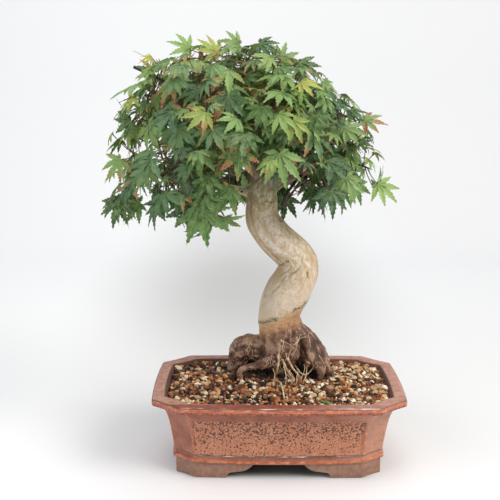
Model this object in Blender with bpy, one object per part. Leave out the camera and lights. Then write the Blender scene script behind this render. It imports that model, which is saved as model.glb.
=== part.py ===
# Japanese maple bonsai growing in a rectangular clay pot with cut corners.
# Metres, +Z up. The maple is drawn round the pot's own centre on the floor, and
# the last step moves everything so that the whole part's bottom centre is at 0.

import math
import random

import bpy
from mathutils import Vector
from mathutils.bvhtree import BVHTree
from mathutils.geometry import delaunay_2d_cdt

MM = 0.001
GAP = 0.0003  # clearance between pieces that touch
SEED = 46

# Pot, in millimetres: the half depth is everywhere DEEP_LESS smaller than the half length.
DEEP_LESS = 54.0
RIM_HALF = 132.0
RIM_TOP = 88.0
FLOOR_TOP = 29.0  # inside floor
BASE_Z = 20.0  # underside of the pot between its feet, before it sagged
SAG_ENDS = 1.6  # how far the base line has sagged at the pot's ends
SAG_MIDDLE = 2.0  # how much further it sags at the middle of the long sides
FOOT_HALF = 109.0
FOOT_WALL = 12.0
RIDGE = 3.5  # width of the raised edge beside each cut corner
PANEL_SINK = 1.2
DRAIN_X = 55.0
DRAIN_RADIUS = 9.0
# Outside profile from the base up: half length, height, cut-corner legs in x and y, sunk panel or not.
OUTER = (
    (109.2, 20.0, 20.5, 12.7, 0),
    (111.6, 21.2, 20.8, 13.2, 0),
    (111.8, 24.0, 20.8, 13.2, 0),
    (109.6, 25.6, 20.6, 13.2, 0),
    (110.2, 28.6, 21.0, 13.6, 0),
    (110.4, 29.6, 21.0, 13.7, 1),
    (115.0, 58.0, 24.0, 17.0, 1),
    (117.6, 67.4, 25.2, 18.4, 1),
    (118.0, 68.6, 25.4, 18.6, 0),
    (121.2, 74.5, 26.4, 20.0, 0),
    (126.6, 78.8, 27.8, 21.4, 0),
    (131.2, 80.6, 28.8, 22.3, 0),
    (132.0, 83.0, 29.0, 22.5, 0),
    (131.8, 87.2, 29.0, 22.5, 0),
    (130.9, 88.0, 28.9, 22.4, 0),
)
# Inside profile from the rim down to the inside floor.
INNER = (
    (119.0, 88.0, 25.8, 18.2),
    (114.0, 80.0, 24.4, 16.8),
    (108.0, 58.0, 22.0, 15.0),
    (101.0, 29.0, 19.0, 12.0),
)

# Soil
SOIL_EDGE_Z = 84.5
SOIL_MOUND = 7.5
GRAIN_PITCH = 9.0
GRAIN_RISE = 1.7

# Trunk rings from the root mass up: x, y, z, radius.
TRUNK = (
    (3, 20, 94, 13), (4, 17, 109, 21), (4, 15, 128, 24.5), (3, 14, 144, 24),
    (1, 13, 158, 22.4), (4, 12, 172, 23.6), (9.5, 10, 185, 24), (15.5, 8, 197, 23),
    (20, 6, 208, 22), (21, 5, 217, 21), (16, 4, 227, 20), (7.5, 3, 236, 19.4),
    (-2.5, 3, 245, 18.8), (-10.5, 3, 254, 18.3), (-16.5, 3, 264, 17.8), (-19, 3, 275, 17),
    (-18.7, 2, 287, 16.2), (-18.8, 1, 299, 15), (-20.5, 0, 311, 13.6), (-23, -1, 325, 12.5),
    (-27, -2, 340, 11.8), (-33, 0, 354, 11), (-41, 3, 367, 9.8), (-48, 6, 382, 8.2),
    (-49, 6, 398, 6.4), (-46, 5, 410, 4.4),
)
TRUNK_SIDES = 11

# Roots: each runs from inside the trunk's base down into the soil.
ROOTS = (
    ((-6, 18, 117, 15), (-22, 20, 118, 14), (-35.5, 22, 118, 14), (-42, 24, 108, 12.3), (-46, 26, 97, 10), (-50, 27, 78, 8.5)),
    ((4, 14, 138, 18), (22, 15, 133, 15), (36, 16, 121, 12.5), (46, 17, 108, 11), (50, 18, 96, 9.5), (52, 18, 78, 8)),
    ((3, 12, 134, 20), (2, 4, 125, 16), (1, 0, 118, 10)),
    ((16, 8, 140, 12), (30, 5, 133, 8.5), (36, -2, 119, 7), (42, -6, 111, 5.4), (47.5, -6, 104, 4.6), (46.5, -2, 94, 4), (45, 1, 80, 3.2)),
    ((26, 12, 132, 11), (41, 9, 125, 7.5), (45, 4, 112, 6.5), (52, 5, 101, 5.6), (58, 8, 92, 4.8), (62, 10, 80, 3.6)),
    ((-6, 4, 113, 9), (-18, -4, 108.3, 5.4), (-31, -7, 106.2, 3.9), (-39.5, -8, 103.2, 3.5), (-42, -7, 98, 3.2), (-41, -5, 92, 2.8), (-40, -3, 80, 2.4)),
    ((-6, 20, 124, 14), (-20, 34, 114, 12), (-32, 44, 100, 9.5), (-36, 49, 77, 7)),
    ((8, 22, 132, 14), (20, 36, 122, 11.5), (26, 45, 104, 9), (28, 50, 77, 6.5)),
)
ROOT_SIDES = 7
# Thin roots that hang from the raised root mass and run out over the soil.
THIN_ROOTS = (
    (
        (3, -7, 130, 2.6), (0, -11, 121, 2), (0.3, -13, 114, 1.7), (-1.1, -12.5, 103.8, 1.6), (-3, -9, 94, 1.5),
        (0, -16, 92.1, 1.4), (2.8, -25, 91, 1.4), (4.6, -46, 88, 1.4), (3.6, -56, 80, 1.2),
    ),
    ((4.5, -6, 114, 2.2), (10.5, -13, 103, 1.6), (14.8, -12, 95, 1.4), (15.8, -16, 91.5, 1.3), (15.5, -24, 84, 1.2)),
    ((9, -5, 117, 2.2), (14.9, -12, 107.7, 1.6), (20.9, -12, 98.9, 1.4), (24, -11, 92, 1.3), (28, -14, 82, 1.2)),
)

# Branches: name of the spray at the end, then rings that start inside the trunk or another branch.
BRANCHES = (
    ("left", ((-18, 2, 290, 8), (-40, 2, 300, 7), (-68, -3, 306, 6), (-96, -8, 309, 5), (-116, -12, 313, 4.2))),
    ("front_left", ((-72, -4, 306.5, 4.6), (-78, -19, 311, 4.3), (-85, -36, 320, 3.9), (-91, -52, 326, 3.4))),
    ("front", ((-20, 0, 308, 7), (-25, -20, 320, 5.6), (-32, -44, 330, 4.8), (-38, -66, 334, 3.6))),
    ("front_right", ((-18, 0, 302, 7), (-3, -14, 315, 6), (11, -31, 325, 5), (23, -51, 332, 3.8))),
    ("right", ((-16, 2, 296, 8), (6, 4, 310, 7), (28, 0, 320, 6), (48, -6, 325, 5), (62, -9, 327, 4))),
    ("back_right", ((-18, 4, 310, 7), (0, 22, 322, 5.8), (18, 38, 332, 4.8), (30, 49, 337, 3.8))),
    ("back", ((-22, 2, 322, 7), (-24, 26, 332, 5.8), (-26, 50, 338, 4.8), (-27, 69, 340, 3.8))),
    ("back_left", ((-20, 4, 300, 7), (-42, 22, 312, 6), (-62, 36, 324, 5), (-80, 48, 332, 3.8))),
    ("upper_left", ((-40, 3, 367, 7.2), (-64, -2, 378, 6), (-86, -8, 388, 5), (-102, -11, 395, 4))),
    ("upper_front_left", ((-60, -1, 376, 4.6), (-65, -17, 385, 4.2), (-71, -34, 394, 3.4))),
    ("upper_front", ((-32, 0, 352, 6.4), (-21, -17, 368, 5.2), (-12, -34, 381, 4.4), (-8, -46, 389, 3.5))),
    ("upper_right", ((-29, 0, 346, 6.8), (-10, 3, 363, 5.6), (8, 2, 377, 4.8), (20, 0, 386, 3.8))),
    ("upper_back_right", ((-47, 6, 381, 5.6), (-32, 21, 390, 4.6), (-17, 36, 397, 3.5))),
    ("upper_back_left", ((-45, 5, 376, 5.8), (-58, 21, 387, 4.6), (-70, 37, 396, 3.5))),
    ("top_left", ((-48, 5, 402, 4.8), (-59, 4, 414, 4.2), (-69, 2, 423, 3.4))),
    ("top_back", ((-48, 7, 394, 4.6), (-45, 19, 405, 4), (-41, 31, 414, 3.4))),
    ("top_front", ((-48, 4, 398, 4.4), (-43, -9, 408, 3.9), (-37, -20, 416, 3.3))),
)
TOP_SPRAY = "top"

# Centre of the leafy area that each spray covers.
SPRAY_CENTRES = {
    "left": (-162, -15, 316), "front_left": (-112, -80, 328), "front": (-46, -106, 330),
    "front_right": (34, -90, 334), "right": (96, -20, 322), "back_right": (56, 76, 334),
    "back": (-28, 108, 334), "back_left": (-116, 76, 334), "upper_left": (-134, -14, 400),
    "upper_front_left": (-84, -66, 404), "upper_front": (-4, -74, 400), "upper_right": (48, -4, 396),
    "upper_back_right": (4, 68, 402), "upper_back_left": (-88, 66, 404), "top_left": (-84, 0, 443),
    "top_back": (-42, 46, 433), "top_front": (-34, -42, 434), "top": (-20, 2, 446),
}

# Crown: a leaning dome, wider at the lower left.
CROWN_CENTRE = (-38, 0, 330)
CROWN_HALF = (134, 114)
CROWN_UP = 122
CROWN_DOWN = 84
LEAN_UP = 0.16
LEAN_DOWN = 0.5
SHOULDER = 2.1  # 2 is a round dome; more is fuller at its shoulders
LEAF_DIRECTIONS = 127
LOWEST_DIRECTION = -0.62
INNER_SHARE = 0.2
TWIG_RADIUS = 1.7
TWIG_TIP_RADIUS = 1.25
TWIG_REACH = 34.0  # a leaf further than this from a twig gets a side twig
STUB = 5.0  # straight length of a main twig where it leaves its branch
NODE_STEP = 2.6  # leaf stalks leave a twig this far apart
PETIOLE_RADIUS = 0.65

# Leaf outline: lobe tips and shoulders, and the cuts between, as degrees and reach.
LEAF_HALF = (
    (12, 0.60), (19, 0.33), (26.5, 0.56), (38, 0.93), (49.5, 0.54), (58, 0.29),
    (66.5, 0.43), (78, 0.74), (90, 0.40), (101, 0.21), (124, 0.40),
)
LEAF_BASE_REACH = 0.07
BLADE_HALF = 0.95  # half thickness where the ribs meet

# Feature leaves that face the viewer: blade base x, y, z, then where its tip points (dx, dz), then length.
FEATURE_LEAVES = (
    (-97, -88, 368, -2, -27, 29), (-74, -98, 360, 2, -19, 25), (-51, -84, 397, 1, -32, 33),
    (-40, -107, 349, -1, -28, 30), (-8, -103, 345, 7, -44, 42), (-19, -92, 388, -9, -22, 25),
    (8, -94, 376, 8, -20, 25), (34, -79, 381, 4, -14, 24), (59, -83, 323, 10, -26, 29),
    (95, -45, 311, 16, -13, 27), (44, -92, 311, 4, -26, 28), (-147, -40, 371, -20, -8, 26),
    (-158, -42, 334, -14, -18, 27), (-130, -78, 329, 3, -22, 25), (-78, -97, 297, 12, -43, 43),
    (-42, -8, 445, -14, 5, 24), (-22, -6, 446, 17, -6, 26), (17, -34, 427, 18, -12, 27),
    (59, -60, 366, 16, -2, 26), (-160, -50, 294, -9, -25, 29), (-116, -86, 296, -21, -12, 27),
    (82, -30, 372, 18, -2, 24), (98, 0, 300, 18, -4, 28), (-128, -20, 421, -16, 8, 24),
    (-92, -8, 441, -12, 6, 24), (-64, -16, 437, -8, 6, 24), (2, -12, 437, 14, 8, 24),
)
# The stretch of trunk that shows below the crown, seen from the front: x from, x to, lowest leaf.
WINDOW = (-50, 48, 297)

WIRE_RADIUS = 1.6

GREENS = ("#698249", "#637e57", "#7d9155", "#5c7a4c")


def mm(x, y, z):
    return Vector((x, y, z)) * MM


def linear(code):
    parts = [int(code[i:i + 2], 16) / 255 for i in (1, 3, 5)]
    return [p / 12.92 if p <= 0.04045 else ((p + 0.055) / 1.055) ** 2.4 for p in parts] + [1.0]


def material(name, code, roughness, metallic=0.0):
    made = bpy.data.materials.new(name)
    made.use_nodes = True
    shader = made.node_tree.nodes["Principled BSDF"]
    shader.inputs["Base Color"].default_value = linear(code)
    shader.inputs["Roughness"].default_value = roughness
    shader.inputs["Metallic"].default_value = metallic
    made.diffuse_color = linear(code)
    return made


def solid(name, shape, made_of, collection=None):
    """An object from a shape, which is its corners and its faces."""
    mesh = bpy.data.meshes.new(name)
    mesh.from_pydata([tuple(c) for c in shape[0]], [], shape[1])
    mesh.update()
    mesh.materials.append(made_of)
    made = bpy.data.objects.new(name, mesh)
    (collection or bpy.context.scene.collection).objects.link(made)
    return made


def bake(made):
    """Applies an object's modifiers to its mesh."""
    bpy.context.view_layer.update()
    graph = bpy.context.evaluated_depsgraph_get()
    mesh = bpy.data.meshes.new_from_object(made.evaluated_get(graph))
    old = made.data
    made.modifiers.clear()
    made.data = mesh
    bpy.data.meshes.remove(old)


def combine(made, shapes, operation, solver="EXACT"):
    """Joins or cuts an object with every shape of a list in one Boolean."""
    others = bpy.data.collections.new(made.name + "_others")
    bpy.context.scene.collection.children.link(others)
    for i, shape in enumerate(shapes):
        other = solid(f"{made.name}_other_{i}", shape, made.data.materials[0], others)
        other.hide_render = True
        other.display_type = "WIRE"
    cut = made.modifiers.new("combine", "BOOLEAN")
    cut.operation = operation
    cut.operand_type = "COLLECTION"
    cut.collection = others
    cut.solver = solver
    bake(made)
    for other in list(others.objects):
        bpy.data.objects.remove(other)
    bpy.data.collections.remove(others)


def tube(points, radii, sides):
    """A closed round bar through the points, with a radius for each."""
    corners = []
    side = (points[1] - points[0]).orthogonal().normalized()
    for i, point in enumerate(points):
        ahead = (points[min(i + 1, len(points) - 1)] - points[max(i - 1, 0)]).normalized()
        side = (side - ahead * side.dot(ahead)).normalized()
        across = ahead.cross(side)
        for k in range(sides):
            angle = 2 * math.pi * k / sides
            corners.append(point + (side * math.cos(angle) + across * math.sin(angle)) * radii[i])
    faces = [tuple(range(sides - 1, -1, -1))]
    last = (len(points) - 1) * sides
    faces.append(tuple(range(last, last + sides)))
    for i in range(len(points) - 1):
        for k in range(sides):
            low, high = i * sides + k, i * sides + (k + 1) % sides
            faces.append((low, high, high + sides, low + sides))
    return corners, faces


def smooth(rings, steps):
    """Points and radii on a smooth curve through rings given in millimetres."""
    points, radii = [], []
    for i in range(len(rings) - 1):
        four = [rings[min(max(i + k, 0), len(rings) - 1)] for k in (-1, 0, 1, 2)]
        for step in range(steps):
            t = step / steps
            mixed = [
                0.5 * (2 * b + (c - a) * t + (2 * a - 5 * b + 4 * c - d) * t ** 2 + (3 * b - a - 3 * c + d) * t ** 3)
                for a, b, c, d in zip(*four)
            ]
            points.append(mm(*mixed[:3]))
            radii.append(mixed[3] * MM)
    points.append(mm(*rings[-1][:3]))
    radii.append(rings[-1][3] * MM)
    return points, radii


def box(low, high):
    corners = [mm(x, y, z) for z in (low[2], high[2]) for y in (low[1], high[1]) for x in (low[0], high[0])]
    faces = [(0, 2, 3, 1), (4, 5, 7, 6), (0, 1, 5, 4), (2, 6, 7, 3), (0, 4, 6, 2), (1, 3, 7, 5)]
    return corners, faces


def pot_ring(half, z, leg_x, leg_y, sunk=0, bow=2.2):
    """One level of the pot: an oblong with cut corners and gently bowed sides."""
    deep = half - DEEP_LESS
    sides = (
        (Vector((half - leg_x, -deep)), Vector((1, 0)), half - leg_x, 2),
        (Vector((half, deep - leg_y)), Vector((0, 1)), deep - leg_y, 1),
        (Vector((leg_x - half, deep)), Vector((-1, 0)), half - leg_x, 2),
        (Vector((-half, leg_y - deep)), Vector((0, -1)), deep - leg_y, 1),
    )
    ring = []
    for index, (end, along, reach, middles) in enumerate(sides):
        out = Vector((along.y, -along.x))
        start = end - along * reach * 2
        stops = [0, RIDGE] + [reach * 2 * (k + 1) / (middles + 1) for k in range(middles)]
        stops += [reach * 2 - RIDGE, reach * 2]
        for stop in stops:
            swell = bow * (1 - (stop / reach - 1) ** 2)
            inset = PANEL_SINK if sunk and 0 < stop < reach * 2 else 0
            ring.append(start + along * stop + out * (swell - inset))
        following = sides[(index + 1) % 4]
        corner = following[0] - following[1] * following[2] * 2
        middle = (end + corner) / 2
        ring.append(middle - middle.normalized() * 1.2)
    return [mm(p.x, p.y, z) for p in ring]


def sagged(ring, z):
    """A level of the pot with its base line sunk a little, most at the middle of its long sides."""
    fade = min(max((40 - z) / 10, 0.0), 1.0)
    sunk = []
    for spot in ring:
        middle = max(0.0, 1 - (spot.x / 0.105) ** 2) * min(1.0, abs(spot.y) / 0.05)
        sunk.append(spot - mm(0, 0, fade * (SAG_ENDS + SAG_MIDDLE * middle)))
    return sunk


def loft(rings, cap_first=True, cap_last=True):
    """Closed shape through rings of equal counts that run counter-clockwise seen from above, bottom first."""
    count = len(rings[0])
    corners = [c for ring in rings for c in ring]
    faces = []
    for i in range(len(rings) - 1):
        for k in range(count):
            a, b = i * count + k, i * count + (k + 1) % count
            faces.append((a, b, b + count, a + count))
    if cap_first:
        faces.append(tuple(range(count - 1, -1, -1)))
    if cap_last:
        last = (len(rings) - 1) * count
        faces.append(tuple(range(last, last + count)))
    return corners, faces


def prism(profile, axis, low, high):
    """A profile drawn in x (or y) and z, run straight through along the other axis."""
    near = [mm(low, u, w) if axis == "x" else mm(u, low, w) for u, w in profile]
    far = [mm(high, u, w) if axis == "x" else mm(u, high, w) for u, w in profile]
    count = len(profile)
    faces = [tuple(range(count)), tuple(range(2 * count - 1, count - 1, -1))]
    for k in range(count):
        after = (k + 1) % count
        faces.append((k, k + count, after + count, after))
    if axis == "x":
        faces = [tuple(reversed(face)) for face in faces]
    return near + far, faces


def arch(inner, steps):
    """Half of the cloud-shaped opening between two feet, mirrored into a whole one."""
    half = [(inner, -2)] + [(inner - dx, z) for dx, z in steps]
    return half + [(-x, z) for x, z in reversed(half)]


def build_pot(clay):
    outer = [sagged(pot_ring(*level), level[1]) for level in OUTER]
    inner = [pot_ring(*level) for level in INNER]
    pot = solid("pot", loft(outer + inner), clay)
    foot = [pot_ring(FOOT_HALF, z, 20.5, 12.7, bow=1.8) for z in (0.0, BASE_Z + 1.5)]
    inside = [pot_ring(FOOT_HALF - FOOT_WALL, z, 16.0, 9.0, bow=0.0) for z in (-2.0, BASE_Z - 0.01)]
    feet = solid("feet", loft(foot), clay)
    front = arch(55, ((0.5, 3.5), (3, 6), (11, 7.2), (18, 8.4), (24, 11.5), (30.6, BASE_Z)))
    side = arch(23, ((0.5, 3.5), (3, 6), (10, 9.5), (14, BASE_Z)))
    combine(feet, [loft(inside), prism(front, "y", -90, 90), prism(side, "x", -130, 130)], "DIFFERENCE")
    join = pot.modifiers.new("feet", "BOOLEAN")
    join.operation = "UNION"
    join.object = feet
    bake(pot)
    bpy.data.objects.remove(feet)
    holes = [tube([mm(x, 0, BASE_Z - 4), mm(x, 0, FLOOR_TOP + 4)], [DRAIN_RADIUS * MM] * 2, 16) for x in (-DRAIN_X, DRAIN_X)]
    combine(pot, holes, "DIFFERENCE")
    pot.data.set_sharp_from_angle(angle=math.radians(35))
    return pot


MESH_HALF = 15.0
MESH_THICK = 1.2
MESH_HOLE = 10.0
MESH_STEP = 13.0


def build_drain_mesh(name, x, plastic):
    """A square of plastic mesh that keeps the soil out of a drainage hole."""
    low = FLOOR_TOP + GAP / MM
    plate = solid(name, box((x - MESH_HALF, -MESH_HALF, low), (x + MESH_HALF, MESH_HALF, low + MESH_THICK)), plastic)
    half = MESH_HOLE / 2
    holes = []
    for i in (-0.5, 0.5):
        for j in (-0.5, 0.5):
            u, v = x + i * MESH_STEP, j * MESH_STEP
            holes.append(box((u - half, v - half, low - 1), (u + half, v + half, low + MESH_THICK + 1)))
    combine(plate, holes, "DIFFERENCE")
    return plate


def soil_height(x, y):
    """The soil's mounded level in millimetres, without its grains."""
    spread = (x / 114) ** 2 + (y / 60) ** 2
    return SOIL_EDGE_Z + SOIL_MOUND * max(0.0, 1 - spread) ** 0.7


def build_soil(earth, roots):
    draw = random.Random(SEED)
    gap = GAP / MM * 1.2
    levels = []
    for half, z, leg_x, leg_y in reversed(INNER[2:]):
        levels.append(pot_ring(half - gap, z + (gap if z == FLOOR_TOP else 0), leg_x, leg_y))
    share = (SOIL_EDGE_Z - INNER[1][1]) / (INNER[0][1] - INNER[1][1])
    levels.append(pot_ring(INNER[1][0] - gap, INNER[1][1], INNER[1][2], INNER[1][3]))
    top = [a + (b - a) * share for a, b in zip(INNER[1], INNER[0])]
    levels.append(pot_ring(top[0] - gap, SOIL_EDGE_Z, top[2], top[3]))
    edge = [Vector((p.x, p.y)) / MM for p in levels[-1]]
    inside = []
    rows = int(150 / (GRAIN_PITCH * 0.87))
    for j in range(-rows // 2, rows // 2 + 1):
        for i in range(-20, 21):
            x = (i + 0.5 * (j % 2)) * GRAIN_PITCH + draw.uniform(-1, 1)
            y = j * GRAIN_PITCH * 0.87 + draw.uniform(-1, 1)
            if deep_inside(Vector((x, y)), edge, 2.4):
                inside.append(Vector((x, y)))
    count = len(edge)
    flat = delaunay_2d_cdt(edge + inside, [], [list(range(count))], 1, 1e-7)
    corners = [p for ring in levels for p in ring]
    first = len(corners) - count
    place = {}
    for i, point in enumerate(flat[0]):
        source = flat[3][i][0]
        if source < count:
            place[i] = first + source
        else:
            place[i] = len(corners)
            rise = draw.uniform(-GRAIN_RISE, GRAIN_RISE)
            corners.append(mm(point.x, point.y, soil_height(point.x, point.y) + rise))
    sides = loft(levels, cap_first=True, cap_last=False)[1]
    faces = sides + [tuple(place[k] for k in face) for face in flat[2]]
    soil = solid("soil", (corners, faces), earth)
    low = FLOOR_TOP - 1
    reach = MESH_HALF + GAP / MM
    pockets = [
        box((x - reach, -reach, low), (x + reach, reach, FLOOR_TOP + MESH_THICK + 2 * GAP / MM))
        for x in (-DRAIN_X, DRAIN_X)
    ]
    combine(soil, pockets + roots, "DIFFERENCE")
    keep_largest(soil)
    return soil


def deep_inside(point, edge, clear):
    """Whether a point lies inside an outline and at least clear away from it."""
    for i, a in enumerate(edge):
        b = edge[(i + 1) % len(edge)]
        along = (b - a).normalized()
        if along.x * (point.y - a.y) - along.y * (point.x - a.x) < clear:
            return False
    return True


def keep_largest(made):
    """Drops loose scraps, keeping the body with the most corners."""
    mesh = made.data
    linked = list(range(len(mesh.vertices)))

    def root(k):
        while linked[k] != k:
            linked[k] = linked[linked[k]]
            k = linked[k]
        return k

    for a, b in (edge.vertices for edge in mesh.edges):
        linked[root(a)] = root(b)
    groups = {}
    for k in range(len(mesh.vertices)):
        groups.setdefault(root(k), []).append(k)
    largest = max(groups.values(), key=len)
    if len(groups) == 1:
        return
    number = {old: new for new, old in enumerate(largest)}
    corners = [mesh.vertices[k].co.copy() for k in largest]
    faces = [tuple(number[k] for k in face.vertices) for face in mesh.polygons if face.vertices[0] in number]
    new = bpy.data.meshes.new(made.name)
    new.from_pydata(corners, [], faces)
    new.materials.append(mesh.materials[0])
    made.data = new


def branch_route(rings):
    return smooth(rings, 2 if len(rings) > 4 else 1)


def wood_shapes(extra=0.0, roots_only=False):
    """The trunk, roots and branches as shapes, all fatter by extra metres."""
    shapes = []
    rows = TRUNK[:4] if roots_only else TRUNK
    points, radii = smooth(rows, 1)
    shapes.append(tube(points, [r + extra for r in radii], TRUNK_SIDES))
    for rings in ROOTS:
        points, radii = smooth(rings, 1)
        points[-1] = points[-1] - Vector((0, 0, extra))
        shapes.append(tube(points, [r + extra for r in radii], ROOT_SIDES))
    for rings in THIN_ROOTS:
        points, radii = smooth(rings, 1)
        points[-1] = points[-1] - Vector((0, 0, extra))
        shapes.append(tube(points, [r + extra for r in radii], 5))
    if roots_only:
        return shapes
    for _, rings in BRANCHES:
        points, radii = branch_route(rings)
        shapes.append(tube(points, [r + extra for r in radii], 6))
    return shapes


def coil(rings, start, finish, turns, begin_angle, lead=(), tail=()):
    """A wire wound round a branch from start to finish along it, with loose ends."""
    points, radii = smooth(rings, 8)
    count = int(turns * 7)
    route = [mm(*p) for p in lead]
    frame = (points[1] - points[0]).orthogonal().normalized()
    for k in range(count + 1):
        share = start + (finish - start) * k / count
        spot = share * (len(points) - 1)
        i = min(int(spot), len(points) - 2)
        centre = points[i].lerp(points[i + 1], spot - i)
        ahead = (points[i + 1] - points[i]).normalized()
        frame = (frame - ahead * frame.dot(ahead)).normalized()
        across = ahead.cross(frame)
        angle = begin_angle + 2 * math.pi * turns * k / count
        away = (radii[i] + WIRE_RADIUS * MM * 1.04 + GAP) / math.cos(math.pi / 7)
        route.append(centre + (frame * math.cos(angle) + across * math.sin(angle)) * away)
    route += [mm(*p) for p in tail]
    return tube(route, [WIRE_RADIUS * MM] * len(route), 5)


def crown_point(direction, share):
    """A point on the crown's dome, or inside it, in metres."""
    up = CROWN_UP if direction.z > 0 else CROWN_DOWN
    lean = LEAN_UP if direction.z > 0 else LEAN_DOWN
    if direction.z > 0:
        direction = direction / sum(abs(v) ** SHOULDER for v in direction) ** (1 / SHOULDER)
    z = direction.z * up
    x = direction.x * CROWN_HALF[0] - lean * abs(z)
    centre = Vector(CROWN_CENTRE)
    return (centre + Vector((x, direction.y * CROWN_HALF[1], z)) * share) * MM


def outward(point):
    """Which way is out of the crown at a point."""
    away = point / MM - Vector(CROWN_CENTRE)
    return Vector((away.x / CROWN_HALF[0] ** 2, away.y / CROWN_HALF[1] ** 2, away.z / CROWN_UP ** 2)).normalized()


def leaf_shape(base, ahead, normal, length, droop, root, fat=0.0):
    """A palmate leaf and its stalk as one closed shape, or swollen by fat for a clearance test."""
    right = ahead.cross(normal).normalized()
    outline = [(-angle, reach) for angle, reach in reversed(LEAF_HALF)] + [(0, 1.0)]
    outline += list(LEAF_HALF) + [(180, LEAF_BASE_REACH)]
    corners = [base + normal * (BLADE_HALF * MM + fat)]
    flat = []
    for angle, reach in outline:
        radius = reach * length + fat * 1.5
        turn = math.radians(angle)
        sink = droop * reach * reach * length
        flat.append(base + right * (radius * math.sin(turn)) + ahead * (radius * math.cos(turn)) - normal * sink)
    stalk = (root - base).normalized()
    faces = []
    count = len(outline)
    if fat:
        corners += [p + normal * fat for p in flat] + [p - normal * fat for p in flat]
        corners.append(base - normal * (BLADE_HALF * MM + fat))
        for i in range(count):
            a, b = 1 + i, 1 + (i + 1) % count
            faces += [(0, b, a), (a, b, b + count, a + count), (2 * count + 1, a + count, b + count)]
        start = root - stalk * 0.003
        stem = tube([start, base], [PETIOLE_RADIUS * MM + fat] * 2, 3)
        offset = len(corners)
        corners += stem[0]
        faces += [tuple(k + offset for k in face) for face in stem[1]]
        return corners, faces
    corners += flat
    first = len(corners)
    wide = PETIOLE_RADIUS * MM
    spokes = []
    for angle in (0, 120, 240):
        turn = math.radians(angle)
        spokes.append(right * math.sin(turn) + ahead * math.cos(turn))
    corners += [base - normal * BLADE_HALF * MM + spoke * wide for spoke in spokes]
    for spoke in spokes:
        flatter = (spoke - stalk * spoke.dot(stalk)).normalized()
        corners.append(root + flatter * wide)

    def nearest(i):
        middle = (outline[i][0] + outline[(i + 1) % count][0]) / 2 if i < count - 1 else 208
        return min(range(3), key=lambda k: abs((middle - 120 * k + 180) % 360 - 180))

    for i in range(count):
        a, b = 1 + i, 1 + (i + 1) % count
        ring = nearest(i)
        faces.append((0, b, a))
        faces.append((first + ring, a, b))
        after = nearest((i + 1) % count)
        if after != ring:
            faces.append((first + ring, b, first + after))
    for k in range(3):
        after = (k + 1) % 3
        faces.append((first + k, first + after, first + 3 + after))
        faces.append((first + k, first + 3 + after, first + 3 + k))
    faces.append((first + 3, first + 4, first + 5))
    return corners, faces


class Placed:
    """Shapes already placed, to keep the next one clear of them."""

    def __init__(self):
        self.items = []

    def add(self, shape, owner):
        low = Vector([min(c[k] for c in shape[0]) for k in range(3)])
        high = Vector([max(c[k] for c in shape[0]) for k in range(3)])
        self.items.append((low, high, BVHTree.FromPolygons(shape[0], shape[1]), owner))

    def hits(self, shape, skip=None):
        low = Vector([min(c[k] for c in shape[0]) for k in range(3)])
        high = Vector([max(c[k] for c in shape[0]) for k in range(3)])
        tree = None
        for other_low, other_high, other, owner in self.items:
            if owner == skip:
                continue
            if any(low[k] > other_high[k] or high[k] < other_low[k] for k in range(3)):
                continue
            tree = tree or BVHTree.FromPolygons(shape[0], shape[1])
            if tree.overlap(other):
                return True
        return False


def leaf_targets():
    """Where leaves are wanted: feature leaves first, then an even spread over the crown."""
    draw = random.Random(SEED + 1)
    wanted = []
    for x, y, z, dx, dz, length in FEATURE_LEAVES:
        ahead = Vector((dx, -0.25 * math.hypot(dx, dz), dz)).normalized()
        facing = Vector((0.12 * dx / length, -0.8, 0.62))
        facing = (facing - ahead * facing.dot(ahead)).normalized()
        wanted.append((mm(x, y, z), ahead, facing, length * MM, 0.12))
    golden = math.pi * (3 - math.sqrt(5))
    for i in range(LEAF_DIRECTIONS):
        height = 1 - (i + 0.5) / LEAF_DIRECTIONS * (1 - LOWEST_DIRECTION)
        flat = math.sqrt(1 - height * height)
        turn = golden * i + draw.uniform(-0.15, 0.15)
        direction = Vector((flat * math.cos(turn), flat * math.sin(turn), height))
        inner = draw.random() < INNER_SHARE
        share = draw.uniform(0.62, 0.74) if inner else draw.uniform(0.84, 0.95)
        spot = crown_point(direction, share)
        length = draw.uniform(28, 36) * MM
        roll = draw.uniform(-0.5, 0.5)
        facing, ahead = lay_leaf(spot, roll, draw)
        wanted.append((spot, ahead, facing, length, draw.uniform(0.1, 0.3)))
    return wanted


def lay_leaf(spot, roll, draw):
    """How a leaf hangs at a spot: it faces up and out, and its tip points out and down."""
    out = outward(spot)
    facing = (out * 0.7 + Vector((0, 0, 0.75)) + shake(draw, 0.28)).normalized()
    hang = 1.1 if spot.z < 0.32 else 0.55
    ahead = Vector((out.x, out.y, 0)) * 0.9 + Vector((0, 0, -hang)) + shake(draw, 0.35)
    ahead = ahead - facing * ahead.dot(facing)
    ahead.normalize()
    side = ahead.cross(facing)
    return facing, (ahead * math.cos(roll) + side * math.sin(roll)).normalized()


def shake(draw, size):
    return Vector([draw.uniform(-size, size) for _ in range(3)])


def in_window(base, ahead, length):
    """Whether a leaf would hang in front of the bare stretch of trunk."""
    tip = base + ahead * length
    for p in (base, tip):
        if p.y < 0 and WINDOW[0] * MM < p.x < WINDOW[1] * MM and p.z < WINDOW[2] * MM + 0.14 * abs(p.y):
            return True
    return False


def twig_nodes(a, b, first=False):
    """Places along a stretch of twig where a stalk or a side twig can leave it."""
    span = b - a
    count = max(1, int(span.length / (NODE_STEP * MM)))
    low = 0.4 if first else 0.0
    return [a + span * ((k + 0.5) / count) for k in range(count) if (k + 0.5) / count > low]


FAR_OFF = Vector((9, 9, 9))


def closest(nodes, point):
    """The nearest free place on a spray's twigs, with its distance."""
    spot = min(nodes, key=lambda node: (node - point).length, default=FAR_OFF)
    return spot, (spot - point).length


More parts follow.
